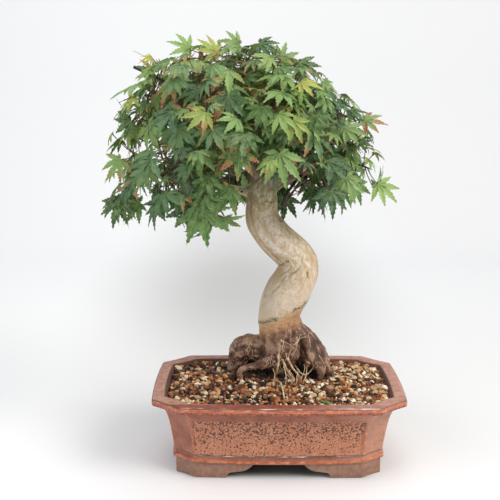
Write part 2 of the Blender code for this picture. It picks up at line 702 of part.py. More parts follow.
def grow_twigs(placed, wanted):
    """Each spray's main twig, then side twigs to the leaves that are too far from it."""
    ends = {name: branch_route(rings) for name, rings in BRANCHES}
    ends[TOP_SPRAY] = smooth(TRUNK, 1)
    sprays = {}
    for name, (route, radii) in ends.items():
        away = (route[-1] - route[-2]).normalized()
        start = route[-1] + away * GAP
        stub = start + away * STUB * MM
        centre = mm(*SPRAY_CENTRES[name])
        middle = stub.lerp(centre, 0.4) + away * 0.003
        tip = stub.lerp(centre, 0.76)
        radius = radii[-1] * 0.8
        shape = tube([start, stub, middle, tip], [radius, radius * 0.9, 2.1 * MM, 1.4 * MM], 4)
        nodes = twig_nodes(stub, middle, first=True) + twig_nodes(middle, tip)
        sprays[name] = {"nodes": nodes, "shapes": [shape], "leaves": []}
        placed.add(shape, name)
    owners = []
    for item in wanted:
        spot = item[0]
        name = min(SPRAY_CENTRES, key=lambda key: (mm(*SPRAY_CENTRES[key]) - spot).length)
        owners.append(name)
    order = sorted(range(len(wanted)), key=lambda k: closest(sprays[owners[k]]["nodes"], wanted[k][0])[1])
    for k in order:
        spray = sprays[owners[k]]
        spot, far = closest(spray["nodes"], wanted[k][0])
        if far <= TWIG_REACH * MM:
            continue
        goal = wanted[k][0] - wanted[k][2] * 0.008
        tip = spot.lerp(goal, 1 - 0.5 * TWIG_REACH * MM / far)
        radii = [TWIG_RADIUS * MM, TWIG_TIP_RADIUS * MM]
        if placed.hits(tube([spot.lerp(tip, 0.2), tip], [r + 0.0006 for r in radii], 4), owners[k]):
            continue
        shape = tube([spot, tip], radii, 4)
        spray["nodes"].remove(spot)
        spray["nodes"] += twig_nodes(spot, tip, first=True)
        spray["shapes"].append(shape)
        placed.add(shape, owners[k])
    return sprays, owners


def place_leaves(placed, sprays, owners, wanted):
    """Fits each wanted leaf where it clears everything placed before it."""
    draw = random.Random(SEED + 2)
    fitted = 0
    for index, (spot, ahead, facing, length, droop) in enumerate(wanted):
        spray = sprays[owners[index]]
        feature = index < len(FEATURE_LEAVES)
        for attempt in range(16):
            base, size = spot, length
            way, face = ahead, facing
            if attempt:
                base = spot + shake(draw, 0.0025 + 0.0007 * attempt)
                size = length * draw.uniform(0.84, 1.0)
                if feature:
                    face = (facing + shake(draw, 0.2)).normalized()
                    way = (ahead - face * ahead.dot(face)).normalized()
                else:
                    face, way = lay_leaf(base, draw.uniform(-0.7, 0.7), draw)
            root, far = closest(spray["nodes"], base)
            if far < 0.005 or far > 0.046:
                continue
            stalk = (root - base).normalized()
            if stalk.dot(face) > -0.25:
                face = (face - stalk * (stalk.dot(face) + 0.3)).normalized()
            if stalk.dot(way) > 0.3:
                way = way - stalk * (stalk.dot(way) - 0.2)
            way = (way - face * way.dot(face)).normalized()
            if stalk.dot(face) > -0.15 or in_window(base, way, size):
                continue
            if placed.hits(leaf_shape(base, way, face, size, droop, root, 0.0006), "none"):
                continue
            shape = leaf_shape(base, way, face, size, droop, root)
            spray["nodes"].remove(root)
            spray["leaves"].append(shape)
            placed.add(shape, "leaf")
            fitted += 1
            break
    print("leaves fitted", fitted, "of", len(wanted))


def build_sprays(sprays):
    for index, (name, spray) in enumerate(sprays.items()):
        green = material(f"maple_leaf_{name}", GREENS[index % len(GREENS)], 0.55)
        made = solid(f"spray_{name}", spray["shapes"][0], green)
        combine(made, spray["shapes"][1:] + spray["leaves"], "UNION")
        keep_largest(made)


def clear_scene():
    for made in list(bpy.data.objects):
        bpy.data.objects.remove(made)


def centre_all():
    """Moves every piece so that the bottom centre of the whole is at the origin."""
    bpy.context.view_layer.update()
    made = [o for o in bpy.context.scene.objects if o.type == "MESH"]
    corners = [o.matrix_world @ v.co for o in made for v in o.data.vertices]
    low = Vector([min(c[k] for c in corners) for k in range(3)])
    high = Vector([max(c[k] for c in corners) for k in range(3)])
    shift = Vector((-(low.x + high.x) / 2, -(low.y + high.y) / 2, -low.z))
    for o in made:
        o.location = shift
    print("size", [round(v * 1000, 1) for v in high - low], "pot centre", [round(v * 1000, 2) for v in shift])


def main():
    clear_scene()
    clay = material("iron_glazed_clay", "#a1745a", 0.5)
    bark = material("maple_bark", "#c7b69a", 0.8)
    earth = material("bonsai_soil", "#7a5a44", 0.95)
    plastic = material("mesh_plastic", "#2c2c2c", 0.6)
    black = material("black_aluminium_wire", "#23211f", 0.5)
    build_pot(clay)
    build_drain_mesh("drain_mesh_left", -DRAIN_X, plastic)
    build_drain_mesh("drain_mesh_right", DRAIN_X, plastic)
    build_soil(earth, wood_shapes(GAP * 1.15, roots_only=True))
    shapes = wood_shapes()
    trunk = solid("trunk", shapes[0], bark)
    combine(trunk, shapes[1:], "UNION")
    keep_largest(trunk)
    trunk.data.shade_smooth()
    trunk.data.set_sharp_from_angle(angle=math.radians(50))
    branch = dict(BRANCHES)
    wires = {
        "wire_left": coil(branch["left"], 0.25, 0.43, 3, 0.5),
        "wire_right": coil(branch["right"], 0.42, 0.85, 3, 2.6, lead=((2, -13.5, 284), (8, -10.5, 298))),
        "wire_upper_left": coil(branch["upper_left"], 0.52, 0.97, 3, 0.4, tail=((-118, -18, 410), (-146, -20, 423))),
    }
    placed = Placed()
    for shape in shapes:
        placed.add(shape, "wood")
    for name, shape in wires.items():
        solid(name, shape, black).data.shade_smooth()
        placed.add(shape, "wire")
    wanted = leaf_targets()
    sprays, owners = grow_twigs(placed, wanted)
    place_leaves(placed, sprays, owners, wanted)
    build_sprays(sprays)
    centre_all()


main()
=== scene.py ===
# %% [markdown]
# # A Japanese maple bonsai, dressed
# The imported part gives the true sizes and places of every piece: the pot, the soil, the trunk with its roots
# and branches, the leafy sprays and the training wires. This lesson builds the fine surface of each one over
# the plain solid, in metres and in the same frame, so that a stranger can read how each look is made.
# First come the imports, the frame, and the pot's own centre, round which the tree was drawn.

import math
import random

import bmesh
import bpy
import numpy as np
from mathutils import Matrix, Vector, noise
from mathutils.bvhtree import BVHTree


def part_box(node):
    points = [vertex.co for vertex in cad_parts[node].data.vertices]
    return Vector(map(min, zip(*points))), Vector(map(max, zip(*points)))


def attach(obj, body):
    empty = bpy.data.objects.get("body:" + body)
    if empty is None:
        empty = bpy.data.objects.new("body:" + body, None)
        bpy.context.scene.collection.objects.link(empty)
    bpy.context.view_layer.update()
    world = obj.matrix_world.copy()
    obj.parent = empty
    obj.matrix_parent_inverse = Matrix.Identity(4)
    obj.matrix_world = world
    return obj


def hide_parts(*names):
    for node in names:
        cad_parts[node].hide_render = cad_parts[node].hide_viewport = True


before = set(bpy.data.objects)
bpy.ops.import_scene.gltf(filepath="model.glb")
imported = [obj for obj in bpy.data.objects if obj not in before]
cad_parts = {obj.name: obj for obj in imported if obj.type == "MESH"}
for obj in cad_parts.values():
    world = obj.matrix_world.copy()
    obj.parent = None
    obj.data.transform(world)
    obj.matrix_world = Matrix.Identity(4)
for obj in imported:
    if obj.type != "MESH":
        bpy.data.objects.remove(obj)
# Noise that comes as a vector starts from the clock unless it is given a seed.
noise.seed_set(3)
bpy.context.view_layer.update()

MM = 0.001
POT_LOW, POT_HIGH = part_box("pot")
POT_CENTRE = Vector(((POT_LOW[0] + POT_HIGH[0]) / 2, (POT_LOW[1] + POT_HIGH[1]) / 2, 0.0))
SHIFT = np.array(POT_CENTRE)
print("pot centre in the frame, mm:", [round(v * 1000, 2) for v in POT_CENTRE])

# %% [markdown]
# ## Small tools
# Colours are picked in the screen's own code and turned into linear light once, in one function.
# Shader graphs are built with one function that adds a node, sets its sockets and joins them, so each
# material reads as a short list. A table says which sockets each kind of node fills in turn. Meshes come from
# arrays of corners and faces.

# %% Colour, node and mesh helpers


def tone(code):
    """A colour written as a hex code on screen, in linear light."""
    parts = [int(code[i:i + 2], 16) / 255 for i in (1, 3, 5)]
    return [p / 12.92 if p <= 0.04045 else ((p + 0.055) / 1.055) ** 2.4 for p in parts] + [1.0]


# Each kind of node in use: Blender's name, its settings and first values, the sockets that values fill in
# turn, and its output.
KINDS = {
    "place": ("ShaderNodeTexCoord", {}, (), "Object"),
    "normal": ("ShaderNodeNewGeometry", {}, (), "Normal"),
    "carried": ("ShaderNodeAttribute", {}, (), "Fac"),
    "x_of": ("ShaderNodeSeparateXYZ", {}, ("Vector",), "X"),
    "y_of": ("ShaderNodeSeparateXYZ", {}, ("Vector",), "Y"),
    "z_of": ("ShaderNodeSeparateXYZ", {}, ("Vector",), "Z"),
    "vector": ("ShaderNodeCombineXYZ", {}, ("X", "Y", "Z"), 0),
    "squeeze": ("ShaderNodeMapping", {}, ("Vector", "Scale"), 0),
    "distance": ("ShaderNodeVectorMath", {"operation": "DISTANCE"}, (0, 1), "Value"),
    "noise": (
        "ShaderNodeTexNoise", {"Detail": 3.0, "Roughness": 0.55, "Distortion": 0.0},
        ("Vector", "Scale", "Detail", "Roughness", "Distortion"), "Fac",
    ),
    "window": (
        "ShaderNodeMapRange", {"interpolation_type": "SMOOTHSTEP"},
        ("Value", "From_Min", "From_Max", "To_Min", "To_Max"), 0,
    ),
    "mix": ("ShaderNodeMix", {"data_type": "RGBA"}, (0, 6, 7), 2),
    "ramp": ("ShaderNodeValToRGB", {}, ("Fac",), "Color"),
    "bump": ("ShaderNodeBump", {}, ("Height", "Distance", "Strength", "Normal"), 0),
    "hue": ("ShaderNodeHueSaturation", {}, (), 0),
    "principled": ("ShaderNodeBsdfPrincipled", {}, (), 0),
    "translucent": ("ShaderNodeBsdfTranslucent", {}, (), 0),
    "mix_shaders": ("ShaderNodeMixShader", {}, (0, 1, 2), 0),
    "output": ("ShaderNodeOutputMaterial", {}, ("Surface",), None),
}
for name in ("add", "subtract", "multiply", "divide", "maximum", "absolute", "fract", "multiply_add"):
    KINDS[name] = ("ShaderNodeMath", {"operation": name.upper()}, (0, 1, 2), 0)


def put(tree, kind, *values, stops=(), **named):
    """Adds one node with its settings and links, and gives its output.

    The values fill the kind's sockets in turn. A value is a number, a colour or another node's output. A name
    that starts small is a setting, any other is a socket, and the stops are a colour ramp's.
    """
    title, first, sockets, output = KINDS[kind]
    node = tree.nodes.new(title)
    for key, value in {**first, **dict(zip(sockets, values)), **named}.items():
        if isinstance(key, str) and key[0].islower():
            setattr(node, key, value)
            continue
        socket = node.inputs[key.replace("_", " ") if isinstance(key, str) else key]
        if isinstance(value, bpy.types.NodeSocket):
            tree.links.new(value, socket)
        else:
            socket.default_value = value
    marks = node.color_ramp.elements if stops else ()
    while len(marks) < len(stops):
        marks.new(0.5)
    for mark, (spot, code) in zip(marks, stops):
        mark.position = spot
        mark.color = tone(code)
    return node if output is None else node.outputs[output]


def join(tree, kind, first, *others):
    """One value from several, with a node of that kind for each pair in turn."""
    for other in others:
        first = put(tree, kind, first, other)
    return first


def coats(tree, under, *rows):
    """Lays tones over a colour in turn, each from weak to strong where its value goes from low to high."""
    for source, low, high, weak, strong, code in rows:
        share = put(tree, "window", source, low, high, weak, strong)
        under = put(tree, "mix", share, under, tone(code))
    return under


def blobs(size_mm):
    """The scale of a noise whose blobs are about size_mm across."""
    return 1.0 / (size_mm * MM)


def new_material(name):
    """An empty material, its tree, and the place on the object that its patterns start from."""
    made = bpy.data.materials.new(name)
    made.use_nodes = True
    tree = made.node_tree
    tree.nodes.clear()
    return made, tree, put(tree, "place")


def build_mesh(name, corners, faces, skins, values=None, indices=None):
    """An object from corners in the pot's frame, with named values per corner and a skin per face."""
    mesh = bpy.data.meshes.new(name)
    mesh.from_pydata((np.asarray(corners) + SHIFT).tolist(), [], faces)
    for key, array in (values or {}).items():
        layer = mesh.attributes.new(key, "FLOAT", "POINT")
        layer.data.foreach_set("value", np.asarray(array, dtype=np.float32))
    for skin in skins if isinstance(skins, list) else [skins]:
        mesh.materials.append(skin)
    if indices:
        mesh.polygons.foreach_set("material_index", indices)
    mesh.shade_smooth()
    mesh.update()
    made = bpy.data.objects.new(name, mesh)
    bpy.context.scene.collection.objects.link(made)
    return made


def declare(made, slot, *nodes):
    """Hangs a piece under the root body, hides the plain solids that it stands for, and prints its face count.
    The slot is not used.
    """
    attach(made, "root")
    if nodes:
        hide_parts(*nodes)
    print(made.name, "faces", len(made.data.polygons))


class Pile:
    """Corners and faces collected from many small shapes, with values per corner."""

    def __init__(self):
        self.corners = []
        self.faces = []
        self.skins = []
        self.values = {}
        self.count = 0

    def add(self, corners, faces, skin=0, **values):
        corners = np.asarray(corners, dtype=float)
        self.corners.append(corners)
        self.faces += [tuple(k + self.count for k in face) for face in faces]
        self.skins += [skin] * len(faces)
        for key, value in values.items():
            row = np.broadcast_to(np.asarray(value, dtype=float), (len(corners),))
            self.values.setdefault(key, []).append(row)
        self.count += len(corners)

    def build(self, name, skins):
        values = {key: np.concatenate(rows) for key, rows in self.values.items()}
        return build_mesh(name, np.concatenate(self.corners), self.faces, skins, values, self.skins)


def mm(x, y, z):
    return Vector((x, y, z)) * MM


def shake(draw, size):
    return Vector([draw.uniform(-size, size) for _ in range(3)])


def tube(points, radii, sides):
    """A closed round bar through the points, with a radius for each."""
    corners = []
    side = (points[1] - points[0]).orthogonal().normalized()
    for i, point in enumerate(points):
        ahead = (points[min(i + 1, len(points) - 1)] - points[max(i - 1, 0)]).normalized()
        side = (side - ahead * side.dot(ahead)).normalized()
        across = ahead.cross(side)
        for k in range(sides):
            angle = 2 * math.pi * k / sides
            corners.append(point + (side * math.cos(angle) + across * math.sin(angle)) * radii[i])
    faces = [tuple(range(sides - 1, -1, -1))]
    last = (len(points) - 1) * sides
    faces.append(tuple(range(last, last + sides)))
    for i in range(len(points) - 1):
        for k in range(sides):
            low, high = i * sides + k, i * sides + (k + 1) % sides
            faces.append((low, high, high + sides, low + sides))
    return corners, faces


def curve_value(a, b, c, d, t):
    """The value at a share t of the way from b to c, on a smooth curve that comes from a and goes to d."""
    square, cube = 2 * a - 5 * b + 4 * c - d, 3 * b - a - 3 * c + d
    return 0.5 * (2 * b + (c - a) * t + square * t ** 2 + cube * t ** 3)


def smooth_route(rings, steps):
    """Points and radii on a smooth curve through rings given in millimetres."""
    points, radii = [], []
    for i in range(len(rings) - 1):
        four = [rings[min(max(i + k, 0), len(rings) - 1)] for k in (-1, 0, 1, 2)]
        for step in range(steps):
            t = step / steps
            mixed = [curve_value(*row, t) for row in zip(*four)]
            points.append(mm(*mixed[:3]))
            radii.append(mixed[3] * MM)
    points.append(mm(*rings[-1][:3]))
    radii.append(rings[-1][3] * MM)
    return points, radii


def bent(stops, steps):
    """A smooth route through spots in metres, each with its radius in millimetres."""
    return smooth_route([(*(spot / MM), radius) for spot, radius in stops], steps)


# %% [markdown]
# ## Floor, light and camera
# The tree stands on a pale sweep under big soft lamps, as a catalogue photograph is taken. The camera's place
# and lens were fitted to the pot's eight corners: it looks down a little, from about 0.85 m, through a lens
# that is equal to about 59 mm. The sweep is one curved sheet of pale paper, so that no horizon shows. Its
# tones change softly from the front to the wall, with light and shade painted on: it is lighter in front of
# the pot and at the left, has a soft painted shadow low behind the trunk, and has painted shade under the pot,
# where no light reaches. The paper also glows a little, most on the wall, which is painted light.

# %% Stage

CAMERA_PLACE = (-0.0283, -0.844, 0.4227)
CAMERA_DOWN = 0.22
CAMERA_TURN = 0.0036
CAMERA_ROLL = 0.0024
CAMERA_LENS = 58.8
WALL_PAINTED_LIGHT_TONES = "#e3e4e5", "#dadbdd"
SHADE_PLACE = (-0.02, 0.72, 0.0)
SHADE_REACH = (0.36, 0.80, 0.36)
PAPER_GLOW = 0.12
SWEEP_FRONT = -1.6
SWEEP_HALF = 2.6
SWEEP_TOP = 2.4
BEND_FROM = 0.95
BEND_RADIUS = 0.40
BEND_STEPS = 16
AIR_LIGHT = 0.38
# Each lamp: where it stands, what it faces, its side in metres, its watts and its tone.
LAMPS = (
    ("key_softbox", (1.25, -0.75, 1.25), (0, 0, 0.22), 0.9, 27.0, "#fffaf2"),
    ("left_softbox", (-1.3, -0.8, 0.9), (0, 0, 0.2), 1.2, 9.0, "#f4f8ff"),
    ("top_softbox", (-0.1, -0.1, 1.8), (0, 0, 0.2), 1.3, 15.0, "#ffffff"),
)

camera_data = bpy.data.cameras.new("camera")
camera_data.lens = CAMERA_LENS
camera_data.sensor_width = 36.0
camera = bpy.data.objects.new("camera", camera_data)
camera.location = Vector(CAMERA_PLACE) + POT_CENTRE
camera.rotation_euler = (math.pi / 2 - CAMERA_DOWN, -CAMERA_ROLL, CAMERA_TURN)
bpy.context.scene.collection.objects.link(camera)
bpy.context.scene.camera = camera


def build_sweep():
    """A floor that curves up into a backdrop."""
    profile = [(SWEEP_FRONT, 0.0), (BEND_FROM, 0.0)]
    for k in range(1, BEND_STEPS + 1):
        angle = math.pi / 2 * k / BEND_STEPS
        rise = BEND_RADIUS - BEND_RADIUS * math.cos(angle)
        profile.append((BEND_FROM + BEND_RADIUS * math.sin(angle), rise))
    profile.append((BEND_FROM + BEND_RADIUS, SWEEP_TOP))
    corners = [(x, y, z) for y, z in profile for x in (-SWEEP_HALF, SWEEP_HALF)]
    faces = [(2 * i, 2 * i + 1, 2 * i + 3, 2 * i + 2) for i in range(len(profile) - 1)]
    paper, tree, place = new_material("white_backdrop_paper")
    colour = put(
        tree, "ramp", put(tree, "noise", place, blobs(3.0), 4.0),
        stops=((0.3, "#e5e5e7"), (0.7, "#e9e9eb")),
    )
    # Painted light: the paper is made lighter in front of the pot and at its left, against the shade that
    # falls there, and greyer away from the pot's front. It also has a painted soft shadow low behind the
    # trunk.
    right, back = put(tree, "x_of", place), put(tree, "y_of", place)
    from_front = put(tree, "distance", place, (0.0, -0.2, 0.0))
    away = put(tree, "mix", put(tree, "window", right, -0.30, 0.05), tone("#e6e6e6"), tone("#d6d7d8"))
    colour = put(tree, "mix", put(tree, "window", from_front, 0.10, 0.36), colour, away)
    # Painted light: the wall is lighter at the left, which the lamps light less.
    wall = put(tree, "mix", put(tree, "window", right, -0.5, 0.5), tone(WALL_PAINTED_LIGHT_TONES[0]), tone(WALL_PAINTED_LIGHT_TONES[1]))
    colour = put(tree, "mix", put(tree, "window", back, 0.20, 0.90), colour, wall)
    near = put(tree, "squeeze", place, [1 / reach for reach in SHADE_REACH])
    middle = tuple(p / reach for p, reach in zip(SHADE_PLACE, SHADE_REACH))
    colour = coats(tree, colour, (put(tree, "distance", near, middle), 0.05, 1.0, 0.9, 0.0, "#a9aaa7"))
    # Painted light: the paper glows a little, least at the front and most on the wall.
    glow = put(tree, "mix", put(tree, "window", back, 0.20, 1.10), tone("#acacac"), tone("#ffffff"))
    # Painted shade: the paper under the pot is darkened and does not glow, as no light reaches it there.
    sideways = put(tree, "absolute", put(tree, "subtract", right, POT_CENTRE.x))
    deep_in = put(tree, "absolute", put(tree, "subtract", back, POT_CENTRE.y))
    under = put(
        tree, "multiply", put(tree, "window", sideways, 0.085, 0.105, 1.0, 0.0),
        put(tree, "window", deep_in, 0.042, 0.062, 1.0, 0.0,
    ),
    )
    colour = put(tree, "mix", under, colour, tone("#8c8c86"))
    glow = put(tree, "mix", under, glow, tone("#000000"))
    put(
        tree, "output",
        put(
            tree, "principled", Base_Color=colour, Roughness=0.9, Emission_Color=glow,
            Emission_Strength=PAPER_GLOW,
        ),
    )
    sweep = build_mesh("backdrop", corners, faces, paper)


def add_lamp(name, place, aim, size, power, colour):
    """A large soft square lamp that faces a point."""
    data = bpy.data.lights.new(name, "AREA")
    data.shape = "SQUARE"
    data.size = size
    data.energy = power
    data.color = tone(colour)[:3]
    lamp = bpy.data.objects.new(name, data)
    lamp.location = Vector(place) + POT_CENTRE
    lamp.rotation_euler = (Vector(aim) - Vector(place)).to_track_quat("-Z", "Y").to_euler()
    bpy.context.scene.collection.objects.link(lamp)


build_sweep()
for lamp in LAMPS:
    add_lamp(*lamp)
sky = bpy.data.worlds.new("studio_air")
sky.use_nodes = True
sky.node_tree.nodes["Background"].inputs["Color"].default_value = tone("#f6f8fb")
sky.node_tree.nodes["Background"].inputs["Strength"].default_value = AIR_LIGHT
bpy.context.scene.world = sky
bpy.context.scene.view_settings.view_transform = "Standard"
print("camera at", [round(v, 4) for v in camera.location])

# %% [markdown]
# ## The pot
# The real pot is pressed or slab-built clay: an oblong with cut corners, a flat rim over a glossy lip, a deep
# cove, sunk panels, a bead and cloud feet. It is drawn here as rings lofted up the outside and down the
# inside, closer together than in the plain solid, with each moulding's edge rounded. A value on each corner
# says where the glaze runs thin and breaks orange, where a painted glint lies along the front's two edges and
# painted dark lines of shade run beside it, and another says where the sunk panel is. The base line has sagged
# a little towards the middle in the fire. The clay's colour also holds painted light and shade: its right end
# is lighter and its underside darker.

# %% Pot

DEEP_LESS = 54.0
RIDGE = 3.5
PANEL_SINK = 1.2
BASE_Z = 20.0
SAG_ENDS = 1.6
SAG_MIDDLE = 2.0
SAG_REACH = 0.105
SAG_DEEP = 0.05
SAG_TOP = 40.0
SAG_FADE = 10.0
FLOOR_TOP = 29.0
FOOT_HALF = 109.0
FOOT_WALL = 12.0
DRAIN_X = 55.0
DRAIN_RADIUS = 9.0
# Half of each cloud-shaped opening between two feet: steps in from its end, and the height there.
FRONT_ARCH = (
    (0.4, 2.5), (1.4, 4.6), (3.4, 6.2), (7, 6.7), (11, 7.3), (14.5, 7.7), (18, 8.4), (21, 9.6), (24, 11.5),
    (26.8, 13.8), (29.2, 16.6), (30.6, BASE_Z),
)
SIDE_ARCH = ((0.4, 2.5), (1.4, 4.6), (3.4, 6.2), (6.4, 7.2), (10, 9.6), (12.2, 13), (14, BASE_Z))
# Outside from the base up: half length, height, cut-corner legs, sunk share, and the edge mark: wear above
# zero; at -0.9 a painted glint along the front and a painted dark line of shade elsewhere; at -0.3 that line
# only.
POT_OUTSIDE = (
    (109.2, 20.0, 20.5, 12.7, 0, 0.0), (110.9, 20.3, 20.7, 13.0, 0, 0.2),
    (111.7, 21.4, 20.8, 13.2, 0, 0.7), (111.9, 22.8, 20.8, 13.2, 0, 0.8),
    (111.4, 24.3, 20.8, 13.2, 0, 0.5), (110.1, 25.2, 20.7, 13.2, 0, 0.1),
    (109.7, 25.8, 20.6, 13.2, 0, 0.0), (110.0, 27.6, 21.0, 13.5, 0, 0.1),
    (110.1, 28.3, 21.0, 13.6, 0, -0.9), (110.2, 28.9, 21.0, 13.6, 0.5, -0.9),
    (110.4, 29.6, 21.0, 13.7, 1, 0.1), (111.6, 37.0, 21.8, 14.6, 1, 0.0),
    (113.0, 45.0, 22.7, 15.6, 1, 0.0), (114.4, 54.0, 23.6, 16.6, 1, 0.0),
    (115.9, 61.5, 24.4, 17.5, 1, 0.0), (117.4, 66.8, 25.1, 18.3, 1, 0.0),
    (117.7, 67.6, 25.3, 18.5, 0.6, 0.1), (118.0, 68.4, 25.4, 18.6, 0, 0.3),
    (118.6, 70.0, 25.6, 18.9, 0, 0.0), (119.8, 72.6, 26.0, 19.4, 0, 0.0),
    (121.6, 75.0, 26.5, 20.1, 0, 0.0), (124.0, 77.2, 27.1, 20.8, 0, 0.0),
    (127.0, 78.9, 27.9, 21.5, 0, 0.0), (129.8, 79.9, 28.5, 22.1, 0, 0.1),
    (131.2, 80.6, 28.8, 22.3, 0, 0.7), (131.9, 81.6, 29.0, 22.5, 0, 1.0),
    (132.1, 83.4, 29.0, 22.5, 0, 0.9), (132.1, 85.6, 29.0, 22.5, 0, 0.8),
    (132.0, 86.6, 29.0, 22.5, 0, 1.0), (131.8, 87.1, 29.0, 22.5, 0, -0.3),
    (131.4, 87.6, 28.9, 22.4, 0, -0.9), (130.7, 88.0, 28.9, 22.4, 0, -0.9),
    (129.9, 88.1, 28.8, 22.3, 0, -0.3), (128.8, 88.1, 28.6, 22.0, 0, 0.0),
    (124.0, 88.1, 27.4, 20.2, 0, 0.0),
)
POT_INSIDE = (
    (120.2, 88.0, 26.0, 18.5), (119.2, 87.6, 25.8, 18.2), (118.3, 86.6, 25.5, 18.0),
    (116.6, 84.0, 25.0, 17.5), (114.0, 80.0, 24.4, 16.8), (108.0, 58.0, 22.0, 15.0),
    (101.0, 29.0, 19.0, 12.0),
)


def pot_ring(half, z, leg_x, leg_y, sunk=0.0, wear_and_painted_lines=0.0, bow=2.2, side_steps=9):
    """One level of the pot, with marks at its corners' edges, where the glaze breaks orange and where painted
    glint and shade lines lie, and its panel share.
    """
    deep = half - DEEP_LESS
    sides = (
        (Vector((half - leg_x, -deep)), Vector((1, 0)), half - leg_x),
        (Vector((half, deep - leg_y)), Vector((0, 1)), deep - leg_y),
        (Vector((leg_x - half, deep)), Vector((-1, 0)), half - leg_x),
        (Vector((-half, leg_y - deep)), Vector((0, -1)), deep - leg_y),
    )
    ring, edge_marks, panel = [], [], []
    for index, (end, along, reach) in enumerate(sides):
        out = Vector((along.y, -along.x))
        start = end - along * reach * 2
        stops = [0.0, 0.7, 1.6, RIDGE - 0.6, RIDGE + 0.2, RIDGE + 1.6]
        span = reach * 2 - 2 * stops[-1]
        middles = [stops[-1] + span * (k + 1) / (side_steps + 1) for k in range(side_steps)]
        stops = stops + middles + [reach * 2 - stop for stop in reversed(stops)]
        for stop in stops:
            edge = min(stop, reach * 2 - stop)
            swell = bow * (1 - (stop / reach - 1) ** 2)
            depth = min(max((edge - 1.4) / (RIDGE - 1.2), 0.0), 1.0)
            soft = 0.35 * math.exp(-edge / 0.6)
            spot = start + along * stop + out * (swell - PANEL_SINK * sunk * depth * (depth > 0) - soft)
            ring.append(spot)
            corner_wear = max(0.0, 1 - edge / 1.9) if BASE_Z < z < 79 and bow else 0.0
            lip_edge = max(0.0, 0.85 * (1 - abs(edge - RIDGE) / 1.5)) if 0 < sunk else 0.0
            if wear_and_painted_lines < -0.5:
                edge_marks.append(-0.9 if index == 0 and edge > 1.0 else -0.3)
            else:
                edge_marks.append(wear_and_painted_lines if abs(wear_and_painted_lines) >= corner_wear else max(corner_wear, 0.4 * lip_edge))
            panel.append(sunk * depth)
        following = sides[(index + 1) % 4]
        corner = following[0] - following[1] * following[2] * 2
        hollow = 1.2 if bow else 0.0
        for share in (0.06, 0.15, 0.35, 0.5, 0.65, 0.85, 0.94):
            spot = end.lerp(corner, share)
            inward = (end + corner).normalized()
            ring.append(spot - inward * hollow * 4 * share * (1 - share))
            edge_marks.append(max(wear_and_painted_lines, -0.3))
            panel.append(0.0)
    return [mm(p.x, p.y, z) for p in ring], edge_marks, panel


def sagged(ring, z):
    """A level of the pot with its base line sunk a little, most at the middle of its long sides."""
    fade = min(max((SAG_TOP - z) / SAG_FADE, 0.0), 1.0)
    sunk = []
    for spot in ring:
        middle = max(0.0, 1 - (spot.x / SAG_REACH) ** 2) * min(1.0, abs(spot.y) / SAG_DEEP)
        sunk.append(spot - mm(0, 0, fade * (SAG_ENDS + SAG_MIDDLE * middle)))
    return sunk


def loft(rings):
    """Faces of a closed shape through rings of equal counts, bottom first."""
    count = len(rings[0])
    faces = [tuple(range(count - 1, -1, -1))]
    for i in range(len(rings) - 1):
        for k in range(count):
            a, b = i * count + k, i * count + (k + 1) % count
            faces.append((a, b, b + count, a + count))
    last = (len(rings) - 1) * count
    faces.append(tuple(range(last, last + count)))
    return faces


def lofted(name, rings, skin, values=None):
    return build_mesh(name, [corner for ring in rings for corner in ring], loft(rings), skin, values)


def prism(profile, axis, low, high):
    """A profile drawn in x or y and z, run straight through along the other axis."""
    near = [mm(low, u, w) if axis == "x" else mm(u, low, w) for u, w in profile]
    far = [mm(high, u, w) if axis == "x" else mm(u, high, w) for u, w in profile]
    count = len(profile)
    faces = [tuple(range(count)), tuple(range(2 * count - 1, count - 1, -1))]
    for k in range(count):
        after = (k + 1) % count
        faces.append((k, k + count, after + count, after))
    if axis == "x":
        faces = [tuple(reversed(face)) for face in faces]
    return near + far, faces


def cloud_arch(inner, steps):
    half = [(inner, -2)] + [(inner - dx, z) for dx, z in steps]
    return half + [(-x, z) for x, z in reversed(half)]


def cut(made, others, operation):
    """One Boolean with each of a list of objects, applied."""
    for other in others:
        step = made.modifiers.new("cut", "BOOLEAN")
        step.operation = operation
        step.object = other
    bpy.context.view_layer.update()
    graph = bpy.context.evaluated_depsgraph_get()
    mesh = bpy.data.meshes.new_from_object(made.evaluated_get(graph))
    made.modifiers.clear()
    made.data = mesh
    for other in others:
        bpy.data.objects.remove(other)


